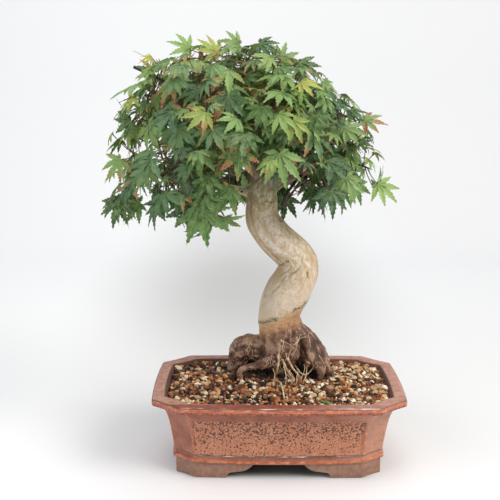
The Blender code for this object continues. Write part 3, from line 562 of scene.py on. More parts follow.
def clay_material():
    """Iron-bearing clay: bare and matte on rim top and feet, satin glaze elsewhere, speckled panels."""
    made, tree, place = new_material("speckled_iron_clay")
    height = put(tree, "z_of", place)
    wear_and_painted_lines, panel, inside = [put(tree, "carried", attribute_name=key) for key in ("wear_and_painted_lines", "panel", "inside")]
    cloudy = put(tree, "noise", place, blobs(18.0), 5.0, 0.6)
    fine = put(tree, "noise", place, blobs(1.3), 5.0, 0.7)
    pooled = put(tree, "noise", put(tree, "squeeze", place, (0.35, 0.35, 1.0)), blobs(2.6), 4.0, 0.65)
    body = put(tree, "ramp", cloudy, stops=((0.3, "#83493a"), (0.5, "#9d5f49"), (0.7, "#b1775f")))
    body = coats(
        tree, body,
        (fine, 0.52, 0.68, 0.0, 0.5, "#6b4234"),
        (fine, 0.32, 0.44, 0.4, 0.0, "#c79d88"),
    )
    right = put(tree, "x_of", place)
    # Painted light: the pot's right end is lighter, as the light falls from the right.
    body = coats(tree, body, (right, 0.07, 0.13, 0.0, 0.4, "#cf9f87"))
    # The panel is a lighter clay with pale grit, whose iron specks crowd together towards its top.
    base = put(tree, "ramp", cloudy, stops=((0.3, "#b46e4e"), (0.7, "#c68563")))
    grit = put(tree, "noise", put(tree, "squeeze", place, (1.0, 1.0, 1.3)), blobs(1.0), 3.0, 0.6)
    base = coats(
        tree, base,
        (grit, 0.56, 0.64, 0.0, 0.6, "#e2b796"),
        (grit, 0.36, 0.44, 0.4, 0.0, "#94593f"),
    )
    speck = put(tree, "noise", place, blobs(2.1), 2.0, 0.5, 0.35)
    cut_off = put(tree, "window", height, 0.026, 0.066, 0.575, 0.505)
    dark = put(tree, "window", put(tree, "subtract", speck, cut_off), 0.0, 0.035, 0.0, 0.95)
    panel_colour = put(
        tree, "mix", dark, base, put(tree, "ramp", fine, stops=((0.4, "#3f2a23"), (0.65, "#6a4738"))),
    )
    body = coats(tree, body, (speck, 0.60, 0.64, 0.0, 0.5, "#56382c"))
    colour = put(tree, "mix", panel, body, panel_colour)
    # Where the glaze runs thin over an edge it breaks orange, in pools and streaks.
    orange = put(tree, "ramp", pooled, stops=((0.3, "#a2492b"), (0.5, "#bf6540"), (0.68, "#dda076")))
    thin = put(tree, "multiply", wear_and_painted_lines, put(tree, "window", pooled, 0.34, 0.58, 0.35, 1.0))
    colour = put(tree, "mix", put(tree, "window", thin, 0.08, 0.75, 0.0, 0.88), colour, orange)
    lip = put(
        tree, "multiply", put(tree, "window", height, 0.0832, 0.0846, 1.0, 0.0),
        put(tree, "window", height, 0.0785, 0.0800),
    )
    colour = put(tree, "mix", put(tree, "multiply", lip, 0.55), colour, tone("#a85242"))
    spots = put(tree, "window", put(tree, "multiply", speck, lip), 0.46, 0.53, 0.0, 0.8)
    colour = put(tree, "mix", spots, colour, tone("#5d3529"))
    # Painted shade: a dark line along the glossy edges, beside the painted glint and in its place on the other
    # sides.
    painted_dark_line = put(tree, "window", wear_and_painted_lines, -0.30, -0.10, 0.85, 0.0)
    colour = put(tree, "mix", painted_dark_line, colour, tone("#4a3a35"))
    # Bare clay shows on the rim's flat top, inside the pot and on the feet.
    dry = put(tree, "noise", place, blobs(6.0), 5.0, 0.65)
    bare_tone = put(tree, "ramp", dry, stops=((0.3, "#9b6b59"), (0.5, "#ad8070"), (0.7, "#be978a")))
    reddish = join(
        tree, "multiply", put(tree, "window", put(tree, "y_of", place), -0.0675, -0.0650, 1.0, 0.0,
    ),
        put(tree, "window", right, 0.03, 0.10, 1.0, 0.3),
        put(tree, "window", right, -0.118, -0.095, 0.3, 1.0),
    )
    bare_tone = put(
        tree, "mix", reddish, bare_tone,
        put(tree, "ramp", pooled, stops=((0.35, "#7b3828"), (0.65, "#9f5a46"))),
    )
    foot_tone = put(tree, "ramp", dry, stops=((0.3, "#85604e"), (0.7, "#a9836f")))
    rim = put(tree, "window", height, 0.08755, 0.08795)
    aside = put(tree, "divide", put(tree, "subtract", right, POT_CENTRE.x), SAG_REACH)
    sunk = put(tree, "maximum", put(tree, "subtract", 1.0, put(tree, "multiply", aside, aside)), 0.0)
    level = put(tree, "multiply_add", sunk, SAG_MIDDLE * MM, put(tree, "add", height, SAG_ENDS * MM))
    foot = put(tree, "window", level, 0.0190, 0.0206, 1.0, 0.0)
    colour = put(tree, "mix", rim, colour, bare_tone)
    colour = put(tree, "mix", foot, colour, foot_tone)
    # A painted highlight, streaked and broken, runs along the front's two horizontal edges: a glint on the
    # glaze.
    streaks = put(tree, "noise", put(tree, "squeeze", place, (0.12, 1.0, 1.0)), blobs(1.6), 3.0)
    gaps = put(tree, "noise", put(tree, "squeeze", place, (0.5, 1.0, 1.0)), blobs(14.0), 2.0)
    pale = join(
        tree, "multiply", put(tree, "window", wear_and_painted_lines, -0.85, -0.45, 1.0, 0.0),
        put(tree, "window", streaks, 0.44, 0.62, 0.05, 0.8,
    ),
        put(tree, "window", gaps, 0.44, 0.56, 0.25, 1.0),
    )
    colour = put(
        tree, "mix", pale, colour,
        put(tree, "ramp", streaks, stops=((0.45, "#b3aca2"), (0.6, "#f1ebe4"))),
    )
    colour = put(tree, "mix", inside, colour, tone("#5e3d31"))
    # Painted shade: the underside is darkened, as it hardly catches light.
    facing = put(tree, "z_of", put(tree, "normal"))
    below = put(
        tree, "multiply", put(tree, "window", facing, -0.8, -0.4, 1.0, 0.0),
        put(tree, "window", height, 0.018, 0.0215, 1.0, 0.0,
    ),
    )
    colour = put(tree, "mix", below, colour, tone("#5a4a40"))
    bare = put(tree, "maximum", put(tree, "maximum", rim, foot), inside)
    glazed = put(tree, "window", wear_and_painted_lines, 0.2, 0.9, 0.50, 0.24)
    shine = put(tree, "maximum", put(tree, "multiply", bare, 0.74), glazed)
    pitted = put(tree, "bump", fine, 0.16 * MM, 0.6)
    pitted = put(
        tree, "bump", put(tree, "multiply", put(tree, "add", dark, grit), panel), 0.22 * MM, 0.6, pitted,
    )
    pitted = put(tree, "bump", pooled, 0.3 * MM, 0.35, pitted)
    put(tree, "output", put(tree, "principled", Base_Color=colour, Roughness=shine, Normal=pitted))
    return made


def build_pot():
    clay = clay_material()
    rings, edge_marks, panels, inside = [], [], [], []
    for half, z, leg_x, leg_y, sunk, wear_and_painted_lines in POT_OUTSIDE:
        ring, edge, panel = pot_ring(half, z, leg_x, leg_y, sunk, wear_and_painted_lines)
        rings.append(sagged(ring, z))
        edge_marks += edge
        panels += panel
        inside += [0.0] * len(ring)
    for half, z, leg_x, leg_y in POT_INSIDE:
        ring, _, _ = pot_ring(half, z, leg_x, leg_y)
        rings.append(ring)
        edge_marks += [0.0] * len(ring)
        panels += [0.0] * len(ring)
        inside += [1.0 if z < 87.9 else 0.0] * len(ring)
    pot = lofted("clay_pot", rings, clay, {"wear_and_painted_lines": edge_marks, "panel": panels, "inside": inside})
    foot_rings = [
        pot_ring(FOOT_HALF - d, z, 20.5, 12.7, bow=1.8)[0]
        for z, d in ((0.0, 1.0), (0.3, 0.4), (1.2, 0.0), (BASE_Z - 0.4, 0.0), (BASE_Z + 1.5, 0.3))
    ]
    feet = lofted("feet", foot_rings, clay)
    hollow = [pot_ring(FOOT_HALF - FOOT_WALL, z, 16.0, 9.0, bow=0.0)[0] for z in (-2.0, BASE_Z - 0.01)]
    front, side = cloud_arch(55, FRONT_ARCH), cloud_arch(23, SIDE_ARCH)
    cutters = [
        lofted("hollow", hollow, clay),
        build_mesh("front", *prism(front, "y", -90, 90), clay),
        build_mesh("side", *prism(side, "x", -130, 130), clay),
    ]
    cut(feet, cutters, "DIFFERENCE")
    cut(pot, [feet], "UNION")
    drains = []
    for x in (-DRAIN_X, DRAIN_X):
        corners, faces = tube([mm(x, 0, BASE_Z - 4), mm(x, 0, FLOOR_TOP + 4)], [DRAIN_RADIUS * MM] * 2, 40)
        drains.append(build_mesh("drain", corners, faces, clay))
    cut(pot, drains, "DIFFERENCE")
    pot.data.set_sharp_from_angle(angle=math.radians(38))
    declare(pot, "pot_clay", "pot")


build_pot()

# %% [markdown]
# ## Trunk, roots and branches
# A maple's bark is smooth and pale when dry, with fine streaks along the grain, tan blotches and small scars.
# The stem, roots and branches are drawn as tubes, melted together by a voxel remesh, smoothed so that the
# branch collars flow, and then pushed in and out by noise that runs along each limb. The colour changes with
# height, because the trunk once stood deeper: a brown band below a ragged green line, and dark roots. Painted
# shade darkens the creases, the flanks, the root hollows and the wood under the crown, and the roots' proud
# parts are paler with dust and a painted highlight.

# %% Wood

TRUNK = (
    (3, 20, 94, 13), (4, 17, 109, 21), (4, 15, 128, 24.5), (3, 14, 144, 24),
    (1, 13, 158, 22.4), (4, 12, 172, 23.6), (9.5, 10, 185, 24), (15.5, 8, 197, 23),
    (20, 6, 208, 22), (21, 5, 217, 21), (16, 4, 227, 20), (7.5, 3, 236, 19.4),
    (-2.5, 3, 245, 18.8), (-10.5, 3, 254, 18.3), (-16.5, 3, 264, 17.8), (-19, 3, 275, 17),
    (-18.7, 2, 287, 16.2), (-18.8, 1, 299, 15), (-20.5, 0, 311, 13.6), (-23, -1, 325, 12.5),
    (-27, -2, 340, 11.8), (-33, 0, 354, 11), (-41, 3, 367, 9.8), (-48, 6, 382, 8.2),
    (-49, 6, 398, 6.4), (-46, 5, 410, 4.4),
)
ROOTS = (
    ((-6, 18, 117, 15), (-22, 20, 118, 14), (-35.5, 22, 118, 14), (-42, 24, 108, 12.3), (-46, 26, 97, 10),
     (-50, 27, 78, 8.5)),
    ((4, 14, 138, 18), (22, 15, 133, 15), (36, 16, 121, 12.5), (46, 17, 108, 11), (50, 18, 96, 9.5),
     (52, 18, 78, 8)),
    ((3, 12, 134, 20), (2, 4, 125, 16), (1, 0, 118, 10)),
    ((16, 8, 140, 12), (30, 5, 133, 8.5), (36, -2, 119, 7), (42, -6, 111, 5.4), (47.5, -6, 104, 4.6),
     (46.5, -2, 94, 4), (45, 1, 80, 3.2)),
    ((26, 12, 132, 11), (41, 9, 125, 7.5), (45, 4, 112, 6.5), (52, 5, 101, 5.6), (58, 8, 92, 4.8),
     (62, 10, 80, 3.6)),
    ((-6, 4, 113, 9), (-18, -4, 108.3, 5.4), (-31, -7, 106.2, 3.9), (-39.5, -8, 103.2, 3.5),
     (-42, -7, 98, 3.2), (-41, -5, 92, 2.8), (-40, -3, 80, 2.4)),
    ((-6, 20, 124, 14), (-20, 34, 114, 12), (-32, 44, 100, 9.5), (-36, 49, 77, 7)),
    ((8, 22, 132, 14), (20, 36, 122, 11.5), (26, 45, 104, 9), (28, 50, 77, 6.5)),
)
THIN_ROOTS = (
    (
        (3, -7, 130, 2.6), (0, -11, 121, 2), (0.3, -13, 114, 1.7), (-1.1, -12.5, 103.8, 1.6),
        (-3, -9, 94, 1.5),
        (0, -16, 92.1, 1.4), (2.8, -25, 91, 1.4), (4.6, -46, 88, 1.4), (3.6, -56, 80, 1.2),
    ),
    ((4.5, -6, 114, 2.2), (10.5, -13, 103, 1.6), (14.8, -12, 95, 1.4), (15.8, -16, 91.5, 1.3),
     (15.5, -24, 84, 1.2)),
    ((9, -5, 117, 2.2), (14.9, -12, 107.7, 1.6), (20.9, -12, 98.9, 1.4), (24, -11, 92, 1.3),
     (28, -14, 82, 1.2)),
)
BRANCHES = (
    ("left", ((-18, 2, 290, 8), (-40, 2, 300, 7), (-68, -3, 306, 6), (-96, -8, 309, 5),
              (-116, -12, 313, 4.2))),
    ("front_left", ((-72, -4, 306.5, 4.6), (-78, -19, 311, 4.3), (-85, -36, 320, 3.9),
                    (-91, -52, 326, 3.4))),
    ("front", ((-20, 0, 308, 7), (-25, -20, 320, 5.6), (-32, -44, 330, 4.8), (-38, -66, 334, 3.6))),
    ("front_right", ((-18, 0, 302, 7), (-3, -14, 315, 6), (11, -31, 325, 5), (23, -51, 332, 3.8))),
    ("right", ((-16, 2, 296, 8), (6, 4, 310, 7), (28, 0, 320, 6), (48, -6, 325, 5), (62, -9, 327, 4))),
    ("back_right", ((-18, 4, 310, 7), (0, 22, 322, 5.8), (18, 38, 332, 4.8), (30, 49, 337, 3.8))),
    ("back", ((-22, 2, 322, 7), (-24, 26, 332, 5.8), (-26, 50, 338, 4.8), (-27, 69, 340, 3.8))),
    ("back_left", ((-20, 4, 300, 7), (-42, 22, 312, 6), (-62, 36, 324, 5), (-80, 48, 332, 3.8))),
    ("upper_left", ((-40, 3, 367, 7.2), (-64, -2, 378, 6), (-86, -8, 388, 5), (-102, -11, 395, 4))),
    ("upper_front_left", ((-60, -1, 376, 4.6), (-65, -17, 385, 4.2), (-71, -34, 394, 3.4))),
    ("upper_front", ((-32, 0, 352, 6.4), (-21, -17, 368, 5.2), (-12, -34, 381, 4.4), (-8, -46, 389, 3.5))),
    ("upper_right", ((-29, 0, 346, 6.8), (-10, 3, 363, 5.6), (8, 2, 377, 4.8), (20, 0, 386, 3.8))),
    ("upper_back_right", ((-47, 6, 381, 5.6), (-32, 21, 390, 4.6), (-17, 36, 397, 3.5))),
    ("upper_back_left", ((-45, 5, 376, 5.8), (-58, 21, 387, 4.6), (-70, 37, 396, 3.5))),
    ("top_left", ((-48, 5, 402, 4.8), (-59, 4, 414, 4.2), (-69, 2, 423, 3.4))),
    ("top_back", ((-48, 7, 394, 4.6), (-45, 19, 405, 4), (-41, 31, 414, 3.4))),
    ("top_front", ((-48, 4, 398, 4.4), (-43, -9, 408, 3.9), (-37, -20, 416, 3.3))),
)
VOXEL = 1.25 * MM


def branch_route(rings):
    """The branch's route as the plain solid has it."""
    return smooth_route(rings, 2 if len(rings) > 4 else 1)


def unrolled(tree, around, along, share):
    """A flat pattern space over a limb's skin, in which blobs run long up the limb."""
    return put(tree, "vector", around, put(tree, "multiply", along, share), 0.0)


def bark_material():
    """Smooth mottled bark, a brown base band under a green line, dark dusty roots, and painted light and
    shade.
    """
    made, tree, place = new_material("maple_bark")
    height = put(tree, "z_of", place)
    keys = "along", "around", "relief", "crease_shade_and_marks", "paled"
    along, around, relief, crease_shade_and_marks, paled = [put(tree, "carried", attribute_name=key) for key in keys]
    streak = put(tree, "noise", unrolled(tree, around, along, 0.22), blobs(1.3), 5.0, 0.6, 0.4)
    mottle = put(tree, "noise", unrolled(tree, around, along, 0.55), blobs(6.0), 6.0, 0.68, 0.8)
    blotch = put(tree, "noise", place, blobs(17.0), 5.0, 0.62, 0.6)
    freckle = put(tree, "noise", place, blobs(1.7), 4.0, 0.7)
    rubbed = put(tree, "noise", put(tree, "squeeze", place, (1.0, 1.0, 0.6)), blobs(3.2), 6.0, 0.8, 0.5)
    pale = put(tree, "ramp", blotch, stops=((0.3, "#bb9f72"), (0.5, "#cbb491"), (0.7, "#d5c5b1")))
    pale = coats(
        tree, pale,
        (mottle, 0.50, 0.60, 0.0, 0.85, "#e4d9cf"),
        (mottle, 0.34, 0.45, 0.75, 0.0, "#ab8d63"),
        (streak, 0.52, 0.70, 0.0, 0.35, "#8f7b68"),
        (rubbed, 0.53, 0.60, 0.0, 0.6, "#e9dcc6"),
        (rubbed, 0.38, 0.46, 0.55, 0.0, "#a08252"),
        (freckle, 0.60, 0.68, 0.0, 0.6, "#866a48"),
    )
    # Painted shade: the flanks, turned away from the light in front, are a darker tan, the left one most, and
    # the drawn creases are brown.
    side = put(tree, "x_of", put(tree, "normal"))
    left_flank_shade = put(tree, "window", side, -0.92, -0.35, 0.85, 0.0)
    painted_flank_shade = put(tree, "maximum", left_flank_shade, put(tree, "window", side, 0.55, 0.95, 0.0, 0.45))
    pale = put(tree, "mix", painted_flank_shade, pale, tone("#9f7f52"))
    pale = coats(tree, pale, (height, 0.175, 0.225, 0.6, 0.0, "#dfcebb"))
    lichen = put(
        tree, "multiply", put(tree, "window", blotch, 0.50, 0.60),
        put(tree, "window", freckle, 0.46, 0.56),
    )
    pale = put(tree, "mix", put(tree, "multiply", lichen, 0.65), pale, tone("#b5975a"))
    pale = coats(tree, pale, (height, 0.151, 0.175, 0.5, 0.0, "#d2b78e"))
    # Painted shade darkens the drawn creases; the scars and the bud among them keep a darker brown of their
    # own.
    broken = put(tree, "multiply", crease_shade_and_marks, put(tree, "window", mottle, 0.34, 0.60, 1.15, 0.45))
    pale = coats(tree, pale, (broken, 0.1, 0.9, 0.0, 0.9, "#6a5038"))
    # Higher up the bark is duller and greener, darker with painted shade on the side turned from the light and
    # in the creases, and the branches are grey-brown.
    dull = put(tree, "ramp", mottle, stops=((0.38, "#857748"), (0.5, "#b1a373"), (0.60, "#ddd3ac")))
    dull = coats(
        tree, dull,
        (rubbed, 0.52, 0.60, 0.0, 0.7, "#d9cfa9"),
        (rubbed, 0.38, 0.47, 0.7, 0.0, "#675f3a"),
        (freckle, 0.54, 0.66, 0.0, 0.5, "#5b5b3c"),
        (side, -0.90, -0.20, 0.7, 0.0, "#625837"),
        (crease_shade_and_marks, 0.1, 0.9, 0.0, 0.8, "#4c4731"),
    )
    climb = put(tree, "add", height, put(tree, "multiply", mottle, 0.05))
    colour = put(tree, "mix", put(tree, "window", climb, 0.272, 0.334, 0.0, 0.92), pale, dull)
    pale_streak_share = put(tree, "multiply", paled, put(tree, "window", rubbed, 0.42, 0.56, 0.2, 1.0))
    colour = put(tree, "mix", pale_streak_share, colour, tone("#ebddd0"))
    # Painted shade from the crown: the wood under the leaves turns dark brown, over the branches' own darker
    # bark.
    branch_bark_and_crown_shade = put(tree, "ramp", streak, stops=((0.3, "#3d342a"), (0.7, "#665746")))
    colour = put(tree, "mix", put(tree, "window", height, 0.282, 0.325, 0.0, 0.92), colour, branch_bark_and_crown_shade)
    # The band that was once under the soil is wrinkled across, and has a ragged green edge.
    across = put(tree, "noise", put(tree, "squeeze", place, (0.35, 0.35, 1.5)), blobs(2.2), 5.0, 0.65)
    sideways = put(tree, "x_of", place)
    right = put(tree, "maximum", sideways, 0.0)
    ragged = join(
        tree, "add", height,
        put(tree, "multiply", put(tree, "noise", place, blobs(6.0), 5.0, 0.65), 0.014), 0.0068,
    )
    ragged = put(tree, "subtract", ragged, put(tree, "multiply", right, 0.48))
    band = put(tree, "ramp", across, stops=((0.3, "#8f5f3c"), (0.5, "#bb8b60"), (0.68, "#dbb188")))
    band = coats(tree, band, (ragged, 0.148, 0.163, 0.0, 0.45, "#d0ab80"))
    colour = put(tree, "mix", put(tree, "window", ragged, 0.1590, 0.1680, 1.0, 0.0), colour, band)
    at_left = put(tree, "window", sideways, 0.020, 0.026, 1.0, 0.2)
    at_right = put(tree, "window", sideways, 0.036, 0.042, 0.0, 1.0)
    line = join(
        tree, "multiply", put(tree, "window", ragged, 0.1615, 0.1630),
        put(tree, "window", ragged, 0.1650, 0.1685, 1.0, 0.0,
    ),
        put(tree, "maximum", at_left, at_right), put(tree, "window", freckle, 0.40, 0.54, 0.15, 0.95),
    )
    colour = put(tree, "mix", line, colour, tone("#4a522c"))
    # Roots: painted shade darkens the hollows, and what stands proud is paler, partly with dust and partly a
    # painted highlight.
    root = put(tree, "ramp", streak, stops=((0.3, "#371f17"), (0.5, "#5c3a2c"), (0.7, "#875c46")))
    root = coats(
        tree, root,
        (relief, 0.15, 1.05, 0.0, 0.75, "#b18d75"),
        (relief, -0.8, -0.1, 0.9, 0.0, "#1d1311"),
    )
    dusty = put(
        tree, "multiply", put(tree, "window", freckle, 0.54, 0.64),
        put(tree, "window", relief, -0.2, 0.5, 0.15, 0.9),
    )
    root = put(tree, "mix", dusty, root, tone("#ccb8a3"))
    wander = put(tree, "add", ragged, put(tree, "multiply", blotch, 0.024))
    colour = put(tree, "mix", put(tree, "window", wander, 0.147, 0.174, 0.96, 0.0), colour, root)
    rough = put(tree, "subtract", 0.72, put(tree, "multiply", mottle, 0.24))
    wrinkled = put(tree, "bump", streak, 0.3 * MM, 0.4)
    wrinkled = put(tree, "bump", mottle, 0.9 * MM, 0.4, wrinkled)
    wrinkled = put(tree, "bump", freckle, 0.5 * MM, 0.5, wrinkled)
    put(tree, "output", put(tree, "principled", Base_Color=colour, Roughness=rough, Normal=wrinkled))
    return made


# Creases and scars on the trunk's face: x and z along each, its half width, its depth and how dark it is,
# which in a crease is painted shade.
CREASES = (
    (((23.4, 229), (23.0, 221.5), (17.6, 214.5), (13, 212)), 1.1, 1.0, 0.85),
    (((13, 212), (7, 209), (0, 198), (-7, 190), (-15, 182)), 1.3, 0.8, 0.45),
    (((14, 213), (5.6, 201.7), (-6, 191), (-14, 176)), 0.9, 0.5, 0.5),
    (((16, 224), (9, 215), (-2, 206)), 1.0, 0.5, 0.35),
    (((-31, 296), (-31.5, 281), (-29.5, 266), (-24, 250), (-14.6, 237.4), (-4, 227)), 2.0, 1.0, 0.4),
    (((-22, 290), (-22, 272), (-17, 256), (-6, 244)), 1.5, 0.6, 0.25),
    (((-16, 288.7), (-9, 287), (-3.6, 287.6)), 0.8, 0.5, 0.8),
    (((-1, 216.5), (2, 219.5), (6, 224), (9, 225)), 1.3, 1.2, 1.0),
    (((-6, 231), (-2, 226)), 1.0, 0.6, 0.7),
    (((29.5, 213), (30.3, 207)), 1.5, 0.8, 0.7),
    (((24, 199), (19, 189), (15, 176)), 1.2, 0.4, 0.3),
    (((2, 180), (-6, 168)), 1.0, 0.4, 0.3),
    (((0, 229), (5, 223)), 3.0, 0.0, 0.45),
)
# Pale streaks on the same side, given in the same way.
PALE_STREAKS = (
    (((-23, 263), (-18, 251.6), (-11.6, 244.2), (-2.2, 238.8), (6.2, 231.4)), 2.8, 0, 0.75),
    (((0, 249.5), (8.4, 246.3), (12.6, 238.9)), 4.2, 0, 0.8),
    (((-15.7, 273.9), (-10.4, 263.3), (0, 255.8)), 4.0, 0, 0.6),
)
# A bud on the trunk: its spot, its reach and how far it stands out.
BUD = (2, -5, 265.2)
BUD_REACH = 1.9
BUD_RISE = 2.6
# Pale knees on the roots: centre and reach.
PALE_KNEES = (
    ((-43, -10, 101), 5), ((47, -10, 103), 4.5), ((36, -8, 118), 5), ((-28, 6, 130), 7), ((-6, -6, 128), 5),
)


def drawn_lines(corners, normals, lines):
    """How deep in a line each corner is, and how strong the line is, on the side that faces the viewer."""
    flat = corners[:, (0, 2)] / MM
    deep = np.zeros(len(corners))
    dark = np.zeros(len(corners))
    facing = np.clip(-3 * normals[:, 1], 0, 1)
    for line, half, depth, shade in lines:
        away = np.full(len(corners), 1e9)
        for a, b in zip(line, line[1:]):
            a, b = np.array(a), np.array(b)
            share = np.clip((flat - a) @ (b - a) / ((b - a) @ (b - a)), 0, 1)
            away = np.minimum(away, np.linalg.norm(flat - a - share[:, None] * (b - a), axis=1))
        near = np.exp(-(away / half) ** 2) * facing
        deep = np.maximum(deep, near * depth)
        dark = np.maximum(dark, near * shade)
    return deep, dark


def limb_lines():
    """Centre lines of every limb, with its run and its thickness, for the grain to follow."""
    lines = []
    for rings in (TRUNK,) + ROOTS + tuple(rings for _, rings in BRANCHES):
        points, radii = smooth_route(rings, 6)
        spots = np.array([tuple(p) for p in points])
        run = np.concatenate(([0.0], np.cumsum(np.linalg.norm(np.diff(spots, axis=0), axis=1))))
        lines.append((spots, run, np.array(radii)))
    return lines


def follow_limbs(corners):
    """For each corner: how far along its nearest limb it is, and how far round it."""
    best = np.full(len(corners), 1e9)
    along = np.zeros(len(corners))
    around = np.zeros(len(corners))
    thick = np.zeros(len(corners))
    for offset, (spots, run, radii) in enumerate(limb_lines()):
        ahead = np.gradient(spots, axis=0)
        ahead /= np.linalg.norm(ahead, axis=1)[:, None]
        side = np.cross(ahead, (0.13, 0.97, 0.2))
        side /= np.linalg.norm(side, axis=1)[:, None]
        up = np.cross(ahead, side)
        for start in range(0, len(corners), 20000):
            part = corners[start:start + 20000]
            away = np.linalg.norm(part[:, None, :] - spots[None], axis=2)
            near = away.argmin(axis=1)
            share = away[np.arange(len(part)), near] / radii[near]
            better = share < best[start:start + 20000]
            rows = np.nonzero(better)[0]
            k = near[rows]
            gap = part[rows] - spots[k]
            angle = np.arctan2((gap * up[k]).sum(1), (gap * side[k]).sum(1))
            slide = (gap * ahead[k]).sum(1)
            best[start + rows] = share[rows]
            along[start + rows] = run[k] + slide + offset * 0.31
            around[start + rows] = angle * radii[k]
            thick[start + rows] = radii[k]
    return along, around, thick


def melt(shapes, voxel, passes):
    """Joins shapes into one skin with a voxel remesh and evens it."""
    pile = Pile()
    for corners, faces in shapes:
        pile.add([tuple(c) for c in corners], faces)
    rough = pile.build("melt", bpy.data.materials.new("melt"))
    remesh = rough.modifiers.new("voxels", "REMESH")
    remesh.mode = "VOXEL"
    remesh.voxel_size = voxel
    even = rough.modifiers.new("even", "SMOOTH")
    even.iterations = passes
    even.factor = 0.5
    bpy.context.view_layer.update()
    mesh = bpy.data.meshes.new_from_object(rough.evaluated_get(bpy.context.evaluated_depsgraph_get()))
    corners = np.empty(len(mesh.vertices) * 3)
    normals = np.empty(len(mesh.vertices) * 3)
    mesh.vertices.foreach_get("co", corners)
    mesh.vertices.foreach_get("normal", normals)
    faces = [tuple(face.vertices) for face in mesh.polygons]
    bpy.data.objects.remove(rough)
    return corners.reshape(-1, 3) - SHIFT, normals.reshape(-1, 3), faces


def build_wood():
    shapes = []
    for rings, sides in ((TRUNK, 40),) + tuple((r, 24) for r in ROOTS) + tuple((r, 14) for _, r in BRANCHES):
        points, radii = smooth_route(rings, 4)
        shapes.append(tube(points, radii, sides))
    corners, normals, faces = melt(shapes, VOXEL, 5)
    along, around, thick = follow_limbs(corners)
    push = np.zeros(len(corners))
    relief = np.zeros(len(corners))
    deep, dark = drawn_lines(corners, normals, CREASES)
    _, paled = drawn_lines(corners, normals, PALE_STREAKS)
    for i, (x, y, z) in enumerate(corners):
        t, a, r = along[i], around[i], thick[i]
        base = max(0.0, min(1.0, (0.150 - z) / 0.02))
        knob = noise.noise(Vector((x * 55, y * 55, z * 48)))
        fibre = 1 - 2 * abs(noise.noise(Vector((a * 120, t * 26, r * 60))))
        lumps = noise.noise(Vector((x * 115, y * 115, z * 115)))
        bumps = noise.noise(Vector((x * 290, y * 290, z * 290)))
        furrow = 1 - 3 * abs(noise.noise(Vector((a * 130, t * 18, 7.3))))
        thin = min(1.0, r / 0.012)
        rooty = base * (1.5 * lumps + 0.7 * bumps + 1.2 * furrow - 0.5)
        push[i] = (0.8 * knob + 0.25 * fibre - deep[i] + rooty) * MM * thin
        relief[i] = 0.9 * furrow + 1.1 * lumps + 0.7 * bumps - 0.25
        for centre, reach in PALE_KNEES:
            relief[i] += 1.3 * math.exp(-((Vector((x, y, z)) - mm(*centre)).length / (reach * MM)) ** 2)
    swell = np.exp(-(np.linalg.norm(corners - np.array(mm(*BUD)), axis=1) / (BUD_REACH * MM)) ** 2)
    push += BUD_RISE * MM * swell
    dark = np.maximum(dark, swell)
    corners = corners + normals * push[:, None]
    values = {"along": along, "around": around, "relief": relief, "crease_shade_and_marks": dark, "paled": paled}
    wood = build_mesh("bark_skin", corners, faces, bark_material(), values)
    declare(wood, "bark", "trunk")
    return wood


wood = build_wood()
wood_tree = BVHTree.FromObject(wood, bpy.context.evaluated_depsgraph_get())


def thin_root_material():
    made, tree, place = new_material("young_root_skin")
    tint = put(tree, "noise", place, blobs(6.0), 3.0)
    streak = put(tree, "noise", put(tree, "squeeze", place, (1, 1, 0.3)), blobs(1.0), 3.0)
    colour = put(tree, "ramp", tint, stops=((0.3, "#9a7551"), (0.5, "#ceb08a"), (0.7, "#ecdcc2")))
    put(
        tree, "output",
        put(
            tree, "principled", Base_Color=colour, Roughness=0.6,
            Normal=put(tree, "bump", streak, 0.3 * MM, 0.5),
        ),
    )
    return made


CROSSING_ROOT = (
    (19, 3, 104, 1.3), (24.4, -6, 98.2, 1.3), (30.5, -7, 96.8, 1.2), (36, -5, 101, 1.1), (39, -3, 106, 1),
)

ROOTLETS = 46
HANGING_ROOTLETS = 9


def creep(start, way, reach, draw):
    """A rootlet's route over the wood, downhill from a start, until it meets the soil."""
    route, spot = [], start
    for _ in range(int(reach / 2)):
        near, normal, _, _ = wood_tree.find_nearest(spot + POT_CENTRE)
        route.append(near - POT_CENTRE + normal * 0.0003)
        if route[-1].z < 0.087:
            break
        way = (way + shake(draw, 0.45) + Vector((0, 0, -0.2))).normalized()
        way = (way - normal * way.dot(normal)).normalized()
        spot = route[-1] + way * 0.002
    return route


